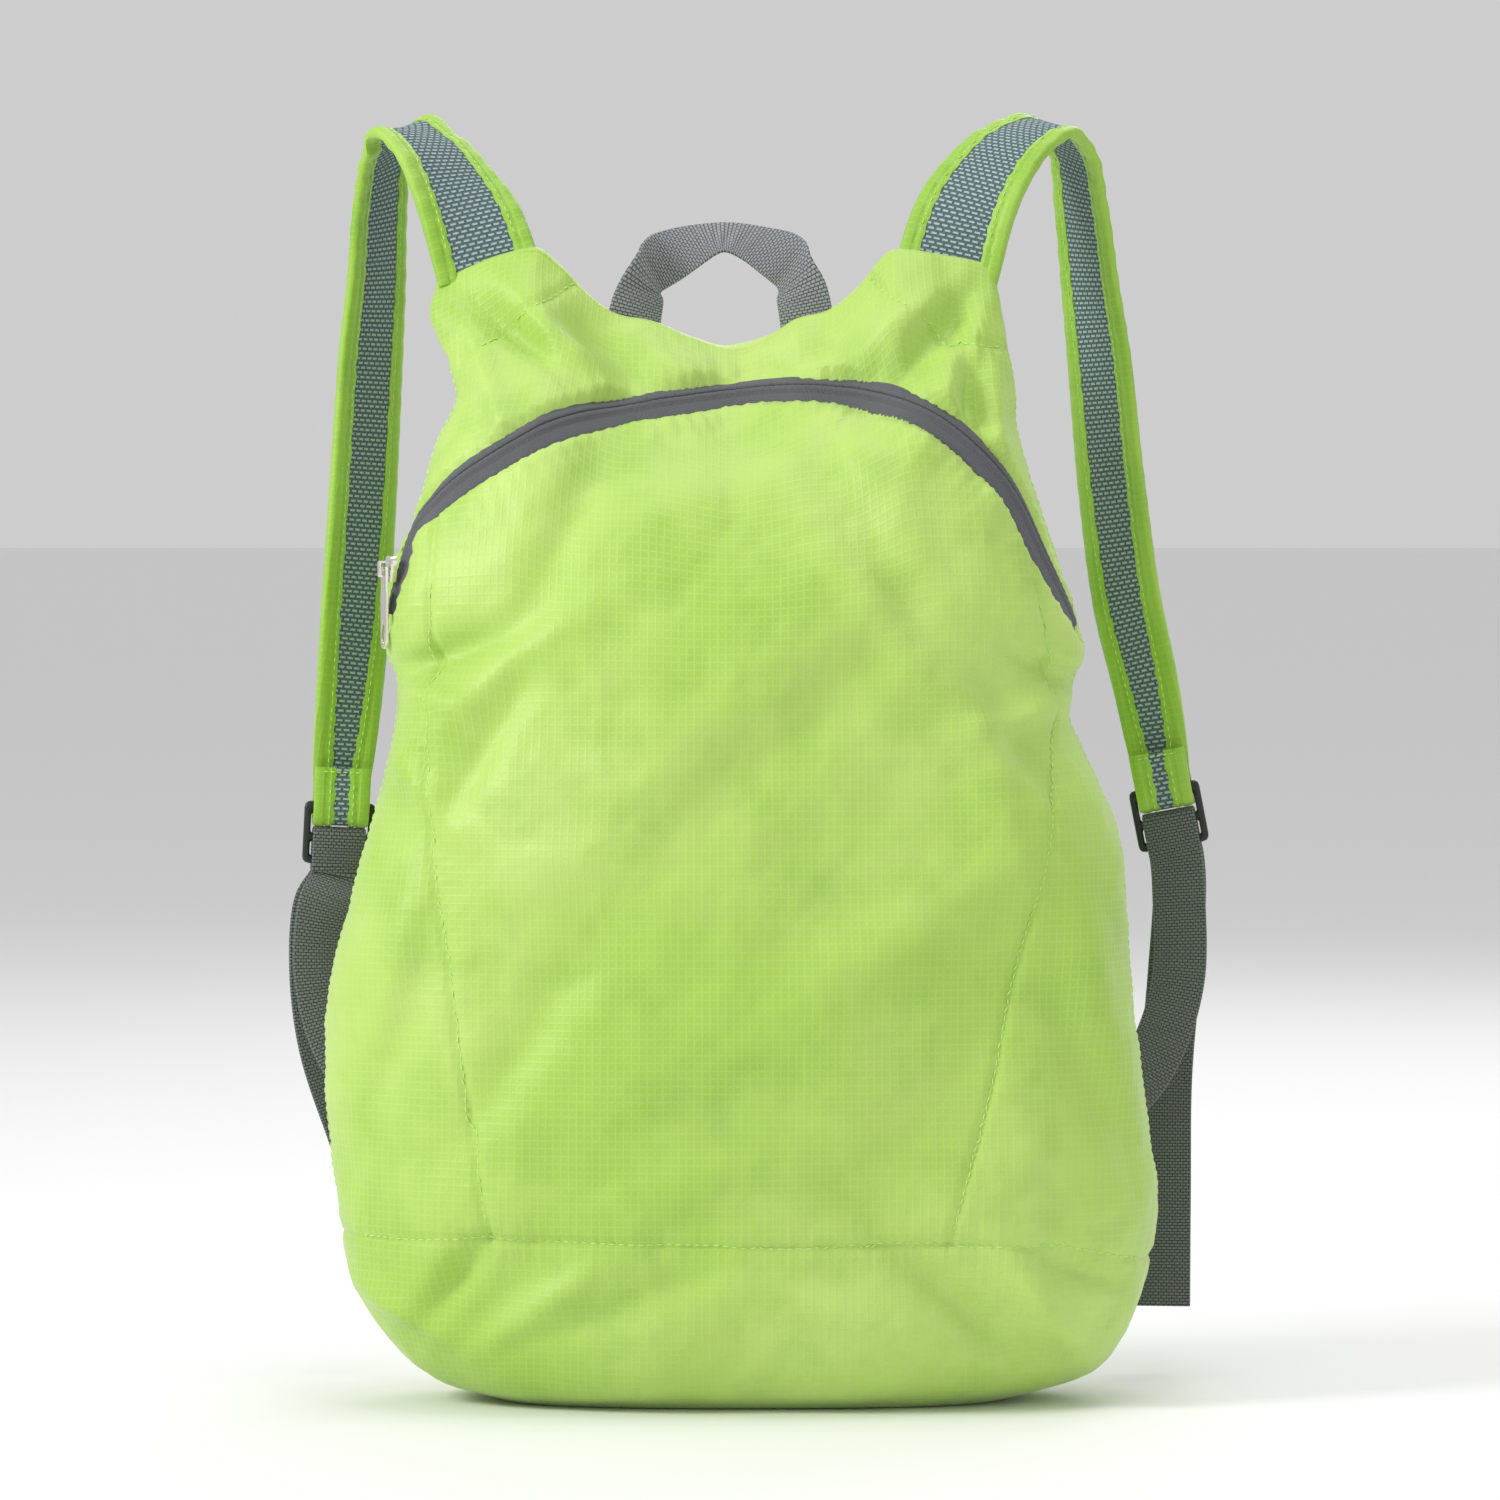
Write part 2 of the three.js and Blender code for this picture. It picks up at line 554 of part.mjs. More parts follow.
// A flat strip of cloth or webbing. Each row has its centre, the direction across it, its width
// and its thickness, and from and to say which share of the width the strip takes.
function strip(rows, { from = (wide) => -wide / 2, to = (wide) => wide / 2, extra = 0 } = {}) {
  const centres = new THREE.CatmullRomCurve3(rows.map((row) => row.centre), false, "centripetal");
  const crossings = new THREE.CatmullRomCurve3(rows.map((row) => row.crossing), false, "catmullrom");
  const count = (rows.length - 1) * STRIP_STEPS;
  const rings = [];
  for (let i = 0; i <= count; i += 1) {
    const share = i / count;
    const j = Math.min(Math.floor(share * (rows.length - 1)), rows.length - 2);
    const t = share * (rows.length - 1) - j;
    const wide = THREE.MathUtils.lerp(rows[j].wide, rows[j + 1].wide, t);
    const thick = THREE.MathUtils.lerp(rows[j].thick, rows[j + 1].thick, t) + extra;
    const centre = centres.getPoint(share);
    const run = centres.getTangent(share);
    const crossing = crossings.getPoint(share);
    crossing.addScaledVector(run, -crossing.dot(run)).normalize();
    const face = run.clone().cross(crossing);
    const at = (sideways, out) =>
      centre.clone().addScaledVector(crossing, sideways).addScaledVector(face, out);
    const [low, high] = [from(wide), to(wide)];
    rings.push([at(high, thick / 2), at(low, thick / 2), at(low, -thick / 2), at(high, -thick / 2)]);
  }
  return loft(rings);
}

const direction = (turn, tilt) => {
  const [a, b] = [THREE.MathUtils.degToRad(turn), THREE.MathUtils.degToRad(tilt)];
  return new THREE.Vector3(Math.cos(a) * Math.cos(b), Math.sin(a) * Math.cos(b), Math.sin(b));
};

const spot = ({ across, back, up }) =>
  new THREE.Vector3(across * halfWidth, back * BAG_DEPTH, up * BAG_HEIGHT);

const webbingRow = (row) => ({
  centre: spot(row),
  crossing: direction(row.turn, row.tilt),
  wide: WEBBING_WIDTH,
  thick: WEBBING_THICK,
});

const strapRow = (row) => ({
  centre: spot(row),
  crossing: direction(row.turn, row.tilt),
  wide: THREE.MathUtils.lerp(STRAP_WIDTH, STRAP_END_WIDTH, row.taper),
  thick: THREE.MathUtils.lerp(STRAP_THICK, STRAP_END_THICK, row.taper),
});

// The buckle's own axes: u across it, v down the strap and n to the back, from its first bar.
function buckleFrame({ across, back, up, turn, lean }) {
  const u = direction(turn, lean);
  const v = new THREE.Vector3(0, 0, -1);
  v.addScaledVector(u, -v.dot(u)).normalize();
  const n = u.clone().cross(v);
  return { origin: spot({ across, back, up }), u, v, n };
}

const inFrame = ({ origin, v, n }, down, backward) =>
  origin.clone().addScaledVector(v, down).addScaledVector(n, backward);

const slotWidth = STRAP_END_WIDTH + 2 * BUCKLE_CLEAR;
const secondBar = BUCKLE_BAR + BUCKLE_FIRST_SLOT;
const thirdBar = secondBar + BUCKLE_BAR + BUCKLE_SECOND_SLOT;
const barReach = (BUCKLE_BAR / 2) * Math.SQRT2 + GAP;

// Rows of a strip that turns round a bar at a distance down the buckle, from one side to the
// other: side is 1 for the back and -1 for the front, and turn says over (-1) or under (1) it.
function roundBar(frame, down, thick, wide, side, turn) {
  const radius = barReach + thick / 2;
  const rows = [];
  for (let i = 0; i <= FOLD_STEPS; i += 1) {
    const angle = (i / FOLD_STEPS) * Math.PI;
    const centre = inFrame(
      frame,
      down + turn * Math.sin(angle) * radius,
      side * Math.cos(angle) * radius,
    );
    rows.push({ centre, crossing: frame.u, wide, thick });
  }
  return rows;
}

// A shoulder strap: down behind the buckle's first bar, under it and up in front as a sewn flap.
function addStrap(name, table, buckle) {
  const frame = buckleFrame(buckle);
  const bulk = STRAP_END_THICK + BINDING_EXTRA;
  const turned = roundBar(frame, 0, bulk, STRAP_END_WIDTH, 1, 1);
  const fold = turned.map((row) => ({ ...row, thick: STRAP_END_THICK }));
  const before = { ...fold[0], centre: inFrame(frame, -STRAP_FLAP / 2, barReach + bulk / 2) };
  const after = { ...fold[0], centre: inFrame(frame, -STRAP_FLAP, -barReach - bulk / 2) };
  const rows = [...table.map(strapRow), before, ...fold, after];
  const bound = { extra: BINDING_EXTRA };
  const inset = BINDING_WIDTH + SIDE_GAP;
  const mesh = { from: (w) => -w / 2 + inset, to: (w) => w / 2 - inset };
  const first = { ...bound, from: (w) => -w / 2, to: (w) => -w / 2 + BINDING_WIDTH };
  const second = { ...bound, from: (w) => w / 2 - BINDING_WIDTH, to: (w) => w / 2 };
  add(`${name}_strap_mesh`, strip(rows, mesh).subtract(bagWithGap), "mesh");
  add(`${name}_strap_binding_left`, strip(rows, first).subtract(bagWithGap), "lime");
  add(`${name}_strap_binding_right`, strip(rows, second).subtract(bagWithGap), "lime");
}

// A ladder-lock buckle: a frame with three bars and two slots.
function addBuckle(name, buckle) {
  const frame = buckleFrame(buckle);
  const half = slotWidth / 2 + BUCKLE_WALL;
  const [top, foot] = [-BUCKLE_BAR, thirdBar + BUCKLE_BAR / 2];
  const round = BUCKLE_WALL;
  const shape = new THREE.Shape();
  shape.moveTo(-half, top + round);
  shape.quadraticCurveTo(-half, top, -half + round, top);
  shape.lineTo(half - round, top);
  shape.quadraticCurveTo(half, top, half, top + round);
  shape.lineTo(half, foot - round);
  shape.quadraticCurveTo(half, foot, half - round, foot);
  shape.lineTo(-half + round, foot);
  shape.quadraticCurveTo(-half, foot, -half, foot - round);
  for (const bar of [0, secondBar]) {
    const start = bar + BUCKLE_BAR / 2;
    const end = start + (bar ? BUCKLE_SECOND_SLOT : BUCKLE_FIRST_SLOT);
    const hole = new THREE.Path();
    hole.moveTo(-slotWidth / 2, start);
    hole.lineTo(slotWidth / 2, start);
    hole.lineTo(slotWidth / 2, end);
    hole.lineTo(-slotWidth / 2, end);
    shape.holes.push(hole);
  }
  const geometry = new THREE.ExtrudeGeometry(shape, {
    depth: BUCKLE_THICK,
    bevelEnabled: false,
    curveSegments: 3,
  });
  geometry.translate(0, 0, -BUCKLE_THICK / 2);
  geometry.applyMatrix4(new THREE.Matrix4().makeBasis(frame.u, frame.v, frame.n).setPosition(frame.origin));
  add(`${name}_buckle`, solid(geometry), "plastic");
}

// One webbing: from the bag's back up in front of the last bar, over the middle one and down.
function addWebbing(name, anchor, tail, buckle) {
  const frame = buckleFrame(buckle);
  const fold = roundBar(frame, secondBar, WEBBING_THICK, WEBBING_WIDTH, -1, -1);
  const out = barReach + WEBBING_THICK / 2;
  const past = (share, side) => ({
    ...fold[0],
    centre: inFrame(frame, thirdBar + share * BUCKLE_BAR, side * out),
  });
  const front = [past(2, -1), past(0.5, -1)];
  const behind = [past(0.5, 1), past(2, 1)];
  const rows = [...anchor.map(webbingRow), ...front, ...fold, ...behind, ...tail.map(webbingRow)];
  add(`${name}_webbing`, strip(rows).subtract(bagWithGap), "webbing");
}

for (const [name, table, buckle, anchor, tail] of [
  ["left", LEFT_STRAP, LEFT_BUCKLE, LEFT_ANCHOR, LEFT_TAIL],
  ["right", RIGHT_STRAP, RIGHT_BUCKLE, RIGHT_ANCHOR, RIGHT_TAIL],
]) {
  addStrap(name, table, buckle);
  addBuckle(name, buckle);
  addWebbing(name, anchor, tail, buckle);
}
add("grab_handle", strip(HANDLE.map(webbingRow)).subtract(bagWithGap), "webbing");

// Shares across and up of the bag's own form at a place drawn on the front.
function onBag({ x, y: z }) {
  let [across, up] = [0, z / BAG_HEIGHT];
  for (let i = 0; i < 30; i += 1) {
    const reach = lookUp(SECTIONS, "up", x < 0 ? "left" : "right", up) * halfWidth;
    across = THREE.MathUtils.clamp(x / reach, -1, 1);
    up += (z - place(across, 0, up).z) / BAG_HEIGHT;
  }
  const deep = -((1 - Math.abs(across) ** SQUARENESS) ** (1 / SQUARENESS));
  return place(across, deep, up);
}

// The zip's coil runs along the middle of its tape, on the outside
function addCoil() {
  const bounds = drawn(ZIP_LINE, 2).slice(3, -3);
  const centres = bounds.map(onBag);
  const rows = centres.map((centre, i) => {
    const run = centres[Math.min(i + 1, centres.length - 1)].clone().sub(centres[Math.max(i - 1, 0)]);
    const ahead = bounds[Math.min(i + 1, bounds.length - 1)];
    const back = bounds[Math.max(i - 1, 0)];
    const level = beside([back, bounds[i], ahead], 1)[1];
    const crossing = onBag(level).sub(centre).normalize();
    const out = run.normalize().clone().cross(crossing);
    const seat = centre.clone().addScaledVector(out, COIL_LIFT + COIL_HEIGHT / 2);
    return { centre: seat, crossing, wide: COIL_WIDTH, thick: COIL_HEIGHT };
  });
  const made = largest(strip(rows).subtract(bagWithGap));
  add("zip_coil", made, "zip");
  return made;
}
const coil = addCoil();

// The zip's slider stands on the tape's left end, with its bridge over the pull's bar. Its axes are
// b across the tape, t down along it and n outwards.
function sliderFrame() {
  const turn = THREE.MathUtils.degToRad(SLIDER_TURN);
  const n = new THREE.Vector3(-Math.cos(turn), -Math.sin(turn), 0);
  const t = new THREE.Vector3(0, 0, -1);
  const b = t.clone().cross(n);
  const origin = place(SLIDER_PLACE.across, SLIDER_PLACE.deep, SLIDER_PLACE.up);
  return { origin, b, t, n };
}

const pivotHeight = SLIDER_LIFT + SLIDER_HEIGHT + BRIDGE_CLEAR / 2;

// A flat outline in two of the slider's axes, thickened along the third, both ways alike.
function plate(outline, thick, along, beside, through, origin) {
  const geometry = new THREE.ExtrudeGeometry(outline, {
    depth: thick,
    bevelEnabled: false,
    curveSegments: 4,
  });
  geometry.translate(0, 0, -thick / 2);
  geometry.applyMatrix4(new THREE.Matrix4().makeBasis(along, beside, through).setPosition(origin));
  return solid(geometry);
}

function addSlider() {
  const { origin, b, t, n } = sliderFrame();
  const [half, long] = [SLIDER_WIDTH / 2, SLIDER_LENGTH / 2];
  const body = new THREE.Shape();
  body.moveTo(-half * 0.6, long);
  body.quadraticCurveTo(-half * 0.75, 0, -half, -long * 0.35);
  body.quadraticCurveTo(-half, -long, -half * 0.4, -long);
  body.lineTo(half * 0.4, -long);
  body.quadraticCurveTo(half, -long, half, -long * 0.35);
  body.quadraticCurveTo(half * 0.75, 0, half * 0.6, long);
  const middle = origin.clone().addScaledVector(n, SLIDER_LIFT + SLIDER_HEIGHT / 2);
  const base = plate(body, SLIDER_HEIGHT, b, t, b.clone().cross(t), middle);
  const reach = BRIDGE_CLEAR / 2 + PULL_BAR / 2 + BRIDGE_BAR;
  const foot = SLIDER_LIFT + SLIDER_HEIGHT / 2;
  const tall = pivotHeight + BRIDGE_CLEAR / 2 + BRIDGE_BAR;
  const arch = new THREE.Shape();
  arch.moveTo(-reach, foot);
  arch.lineTo(-reach, tall - BRIDGE_BAR);
  arch.quadraticCurveTo(-reach, tall, -reach + BRIDGE_BAR, tall);
  arch.lineTo(reach - BRIDGE_BAR, tall);
  arch.quadraticCurveTo(reach, tall, reach, tall - BRIDGE_BAR);
  arch.lineTo(reach, foot);
  arch.lineTo(reach - BRIDGE_BAR, foot);
  arch.lineTo(reach - BRIDGE_BAR, tall - BRIDGE_BAR);
  arch.lineTo(-reach + BRIDGE_BAR, tall - BRIDGE_BAR);
  arch.lineTo(-reach + BRIDGE_BAR, foot);
  const bridge = plate(arch, BRIDGE_WIDTH, t, n, t.clone().cross(n), origin);
  add("zip_slider", base.add(bridge).subtract(bagWithGap).subtract(coil), "metal");
}

// The pull hangs from its bar under the slider's bridge: two arms round the bridge, then a tab
// with a long hole.
function addPull() {
  const { origin, b, t, n } = sliderFrame();
  const half = PULL_WIDTH / 2;
  const neck = half - PULL_ARM;
  const start = -PULL_BAR / 2;
  const outline = new THREE.Shape();
  outline.moveTo(-half * 0.85, start);
  outline.lineTo(half * 0.85, start);
  outline.lineTo(half * 0.85, PULL_EYE);
  outline.lineTo(half, PULL_EYE + half);
  outline.lineTo(half, PULL_LENGTH - half);
  outline.quadraticCurveTo(half, PULL_LENGTH, 0, PULL_LENGTH);
  outline.quadraticCurveTo(-half, PULL_LENGTH, -half, PULL_LENGTH - half);
  outline.lineTo(-half, PULL_EYE + half);
  outline.lineTo(-half * 0.85, PULL_EYE);
  const eye = new THREE.Path();
  eye.moveTo(-neck, PULL_BAR / 2);
  eye.lineTo(-neck, PULL_EYE);
  eye.lineTo(neck, PULL_EYE);
  eye.lineTo(neck, PULL_BAR / 2);
  const hole = new THREE.Path();
  const [low, high] = [PULL_LENGTH - PULL_HOLE - PULL_ARM, PULL_LENGTH - PULL_ARM];
  hole.moveTo(0, low);
  hole.quadraticCurveTo(neck, low, neck, (low + high) / 2);
  hole.quadraticCurveTo(neck, high, 0, high);
  hole.quadraticCurveTo(-neck, high, -neck, (low + high) / 2);
  hole.quadraticCurveTo(-neck, low, 0, low);
  outline.holes.push(eye, hole);
  const pivot = origin.clone().addScaledVector(n, pivotHeight);
  add("zip_pull", plate(outline, PULL_THICK, b, t, b.clone().cross(t), pivot), "metal");
}
addSlider();
addPull();

export default group;
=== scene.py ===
import math

import bmesh
import bpy
import numpy as np
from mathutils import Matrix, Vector, noise
from mathutils.bvhtree import BVHTree


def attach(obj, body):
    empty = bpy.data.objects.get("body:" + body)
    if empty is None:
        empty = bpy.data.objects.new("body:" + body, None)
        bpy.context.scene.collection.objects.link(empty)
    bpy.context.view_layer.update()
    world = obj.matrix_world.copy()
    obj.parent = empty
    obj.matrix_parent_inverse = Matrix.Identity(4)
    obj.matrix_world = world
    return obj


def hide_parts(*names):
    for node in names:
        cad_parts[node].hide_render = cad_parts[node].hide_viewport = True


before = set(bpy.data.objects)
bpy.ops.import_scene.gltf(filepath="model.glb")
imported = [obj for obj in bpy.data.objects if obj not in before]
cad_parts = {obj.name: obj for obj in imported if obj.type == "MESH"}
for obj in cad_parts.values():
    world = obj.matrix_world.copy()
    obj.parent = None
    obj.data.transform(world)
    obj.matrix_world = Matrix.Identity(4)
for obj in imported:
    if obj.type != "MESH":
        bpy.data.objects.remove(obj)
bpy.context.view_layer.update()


def table(names, *rows):
    """Rows of numbers as named columns."""
    values = np.array(rows, float)
    return {name: values[:, i] for i, name in enumerate(names.split())}


MM = 0.001
HEIGHT = 420 * MM
WIDTH = 301 * MM
DEPTH = 136 * MM
HALF = WIDTH / 2
SQUARENESS = 2.5
TAPE = 14 * MM
WEBBING_WIDE = 20 * MM
WEBBING_THICK = 1.6 * MM
STRAP_WIDE = 38 * MM
STRAP_END_WIDE = 20.4 * MM
STRAP_THICK = 3.6 * MM
STRAP_END_THICK = 2.2 * MM
STRAP_FLAP = 16 * MM
BINDING = 7.5 * MM
BINDING_EXTRA = 0.8 * MM
BUCKLE_BAR = 3 * MM
FIRST_SLOT = 7.5 * MM
SECOND_SLOT = 5.5 * MM
GAP = 0.4 * MM
FAR = 9.0

# The bag's form as shares of its height, half width and depth, as in the solids
RISE_START = 0.6
SECTIONS = table(
    "up left right front back",
    (0.0, 0.6, 0.63, -0.27, 0.25),
    (0.016, 0.745, 0.79, -0.37, 0.33),
    (0.05, 0.86, 0.905, -0.45, 0.385),
    (0.094, 0.935, 0.965, -0.49, 0.42),
    (0.142, 0.98, 0.985, -0.505, 0.435),
    (0.19, 1.0, 1.0, -0.515, 0.44),
    (0.294, 1.02, 0.957, -0.52, 0.445),
    (0.381, 1.0, 0.933, -0.51, 0.44),
    (0.45, 0.948, 0.921, -0.495, 0.435),
    (0.52, 0.894, 0.88, -0.475, 0.425),
    (0.59, 0.85, 0.785, -0.45, 0.415),
    (0.62, 0.838, 0.797, -0.435, 0.41),
    (0.65, 0.865, 0.819, -0.42, 0.405),
    (0.694, 0.87, 0.79, -0.39, 0.395),
    (0.746, 0.836, 0.744, -0.34, 0.38),
    (0.798, 0.787, 0.702, -0.27, 0.36),
    (0.85, 0.751, 0.671, -0.18, 0.345),
    (0.892, 0.702, 0.661, -0.09, 0.33),
    (0.929, 0.727, 0.646, 0.0, 0.315),
    (0.968, 0.775, 0.627, 0.11, 0.3),
    (1.0, 0.76, 0.61, 0.2, 0.285),
)
TOP_EDGE = table(
    "across up",
    (-1.0, 0.97),
    (-0.9, 0.982),
    (-0.68, 1.0),
    (-0.6, 0.985),
    (-0.5, 0.957),
    (-0.42, 0.942),
    (-0.3, 0.935),
    (-0.18, 0.922),
    (-0.05, 0.913),
    (0.1, 0.924),
    (0.2, 0.937),
    (0.34, 0.946),
    (0.46, 0.968),
    (0.56, 0.994),
    (0.62, 0.998),
    (0.8, 0.993),
    (0.97, 0.985),
    (1.0, 0.977),
)
FOLDS = table(
    "side across up along beside lean deep",
    (-1, -0.78, 0.63, 0.24, 0.045, 18, -0.05),
    (-1, -0.72, 0.57, 0.2, 0.04, -30, 0.035),
    (-1, 0.68, 0.61, 0.22, 0.045, -20, -0.045),
    (-1, -0.45, 0.9, 0.3, 0.035, -38, -0.05),
    (-1, 0.4, 0.9, 0.26, 0.035, 40, -0.045),
    (-1, 0.52, 0.86, 0.3, 0.04, -75, 0.04),
    (-1, -0.05, 0.62, 0.5, 0.09, 55, 0.03),
    (-1, 0.25, 0.5, 0.5, 0.08, -40, -0.03),
    (-1, -0.3, 0.3, 0.5, 0.08, 35, 0.03),
    (-1, 0.5, 0.3, 0.4, 0.07, 60, -0.03),
    (-1, -0.6, 0.09, 0.3, 0.035, 50, -0.04),
    (-1, 0.6, 0.08, 0.3, 0.035, -45, -0.04),
    (1, -0.4, 0.75, 0.5, 0.06, 50, -0.04),
    (1, 0.4, 0.72, 0.5, 0.06, -50, -0.04),
    (1, 0.0, 0.4, 0.6, 0.09, 10, -0.05),
    (1, -0.5, 0.2, 0.4, 0.05, -35, 0.03),
)
ZIP_LINE = table(
    "across up",
    (-0.93, 0.66),
    (-0.868, 0.716),
    (-0.817, 0.753),
    (-0.719, 0.791),
    (-0.598, 0.82),
    (-0.452, 0.847),
    (-0.258, 0.862),
    (-0.015, 0.875),
    (0.131, 0.878),
    (0.277, 0.873),
    (0.423, 0.857),
    (0.544, 0.827),
    (0.642, 0.788),
    (0.714, 0.737),
    (0.8, 0.675),
    (0.86, 0.62),
)
LEFT_SEAM = table(
    "across up",
    (-0.7, 0.9),
    (-0.756, 0.729),
    (-0.756, 0.607),
    (-0.744, 0.477),
    (-0.707, 0.381),
    (-0.659, 0.259),
    (-0.61, 0.155),
    (-0.57, 0.08),
)
RIGHT_SEAM = table(
    "across up",
    (0.64, 0.9),
    (0.69, 0.729),
    (0.727, 0.659),
    (0.739, 0.563),
    (0.714, 0.477),
    (0.629, 0.363),
    (0.581, 0.277),
    (0.484, 0.148),
    (0.44, 0.08),
)
BOTTOM_SEAM = table(
    "across up",
    (-1.3, 0.142),
    (-0.98, 0.146),
    (-0.62, 0.151),
    (0.03, 0.146),
    (0.484, 0.146),
    (0.763, 0.14),
    (0.98, 0.126),
    (1.3, 0.12),
)
LEFT_CORNER_SEAM = table(
    "across up",
    (-0.9, 0.895),
    (-0.69, 0.901),
    (-0.58, 0.935),
    (-0.42, 0.972),
    (-0.3, 1.02),
)
RIGHT_CORNER_SEAM = table(
    "across up",
    (0.2, 1.02),
    (0.33, 0.965),
    (0.45, 0.935),
    (0.54, 0.917),
    (0.75, 0.915),
)
LEFT_STRAP = table(
    "across back up turn tilt taper",
    (-0.631, 0.245, 0.98, 4, 16, 0),
    (-0.676, 0.285, 1.029, 24, 15, 0),
    (-0.719, 0.33, 1.06, 42, 14, 0),
    (-0.78, 0.4, 1.093, 62, 14, 0),
    (-0.848, 0.48, 1.108, 74, 8, 0.02),
    (-0.895, 0.55, 1.088, 70, 3, 0.04),
    (-0.914, 0.6, 1.04, 64, 0, 0.06),
    (-0.923, 0.63, 0.98, 60, 0, 0.1),
    (-0.938, 0.645, 0.911, 54, 0, 0.14),
    (-0.957, 0.645, 0.798, 48, 0, 0.24),
    (-0.979, 0.63, 0.677, 39, 0, 0.42),
    (-0.996, 0.61, 0.6, 28, 0, 0.66),
)
RIGHT_STRAP = table(
    "across back up turn tilt taper",
    (0.49, 0.245, 0.98, -4, -12, 0),
    (0.535, 0.285, 1.033, -22, -14, 0),
    (0.588, 0.33, 1.068, -38, -15, 0),
    (0.661, 0.4, 1.098, -54, -15, 0),
    (0.75, 0.48, 1.112, -66, -10, 0.02),
    (0.812, 0.55, 1.09, -68, -4, 0.04),
    (0.838, 0.6, 1.04, -64, 0, 0.06),
    (0.86, 0.63, 0.975, -60, 0, 0.1),
    (0.885, 0.645, 0.905, -54, 0, 0.14),
    (0.914, 0.645, 0.798, -48, 0, 0.24),
    (0.953, 0.63, 0.69, -39, 0, 0.42),
    (0.999, 0.61, 0.615, -28, 0, 0.66),
)
LEFT_ANCHOR = table(
    "across back up turn tilt",
    (-0.72, 0.32, 0.2, 26, 57),
    (-0.86, 0.325, 0.235, 14, 45),
    (-1.0, 0.385, 0.29, 8, 28),
    (-1.06, 0.45, 0.36, 16, 8),
    (-1.05, 0.5, 0.42, 14, 0),
)
LEFT_TAIL = table(
    "across back up turn tilt",
    (-1.068, 0.63, 0.42, 12, 4),
    (-1.08, 0.61, 0.36, 14, 2),
    (-1.055, 0.58, 0.29, 14, -6),
    (-0.98, 0.56, 0.21, 12, -12),
    (-0.9, 0.55, 0.13, 10, -12),
)
RIGHT_ANCHOR = table(
    "across back up turn tilt",
    (0.74, 0.3, 0.2, -26, -57),
    (0.88, 0.3, 0.235, -14, -45),
    (1.0, 0.385, 0.28, -10, -28),
    (1.075, 0.48, 0.35, -12, -6),
    (1.08, 0.54, 0.43, -9, 8),
)
RIGHT_TAIL = table(
    "across back up turn tilt",
    (1.088, 0.64, 0.43, -8, 6),
    (1.075, 0.67, 0.35, -8, 0),
    (1.055, 0.66, 0.26, -6, 0),
    (1.052, 0.65, 0.16, -4, 0),
    (1.05, 0.64, 0.055, -4, 0),
)
HANDLE = table(
    "across back up turn tilt",
    (-0.28, 0.25, 0.925, 6, -10),
    (-0.268, 0.255, 0.95, 16, -24),
    (-0.248, 0.27, 0.972, 40, -52),
    (-0.228, 0.31, 0.986, 0, -84),
    (-0.17, 0.36, 1.0, -70, -62),
    (-0.06, 0.385, 1.013, -90, -34),
    (0.03, 0.37, 1.006, -110, -44),
    (0.1, 0.32, 0.992, -150, -70),
    (0.122, 0.285, 0.978, -180, -80),
    (0.138, 0.262, 0.96, -190, -34),
    (0.153, 0.25, 0.93, -184, -14),
)
LEFT_BUCKLE = dict(across=-1.016, back=0.59, up=0.503, turn=8, lean=-3)
RIGHT_BUCKLE = dict(across=1.047, back=0.59, up=0.518, turn=-8, lean=11)

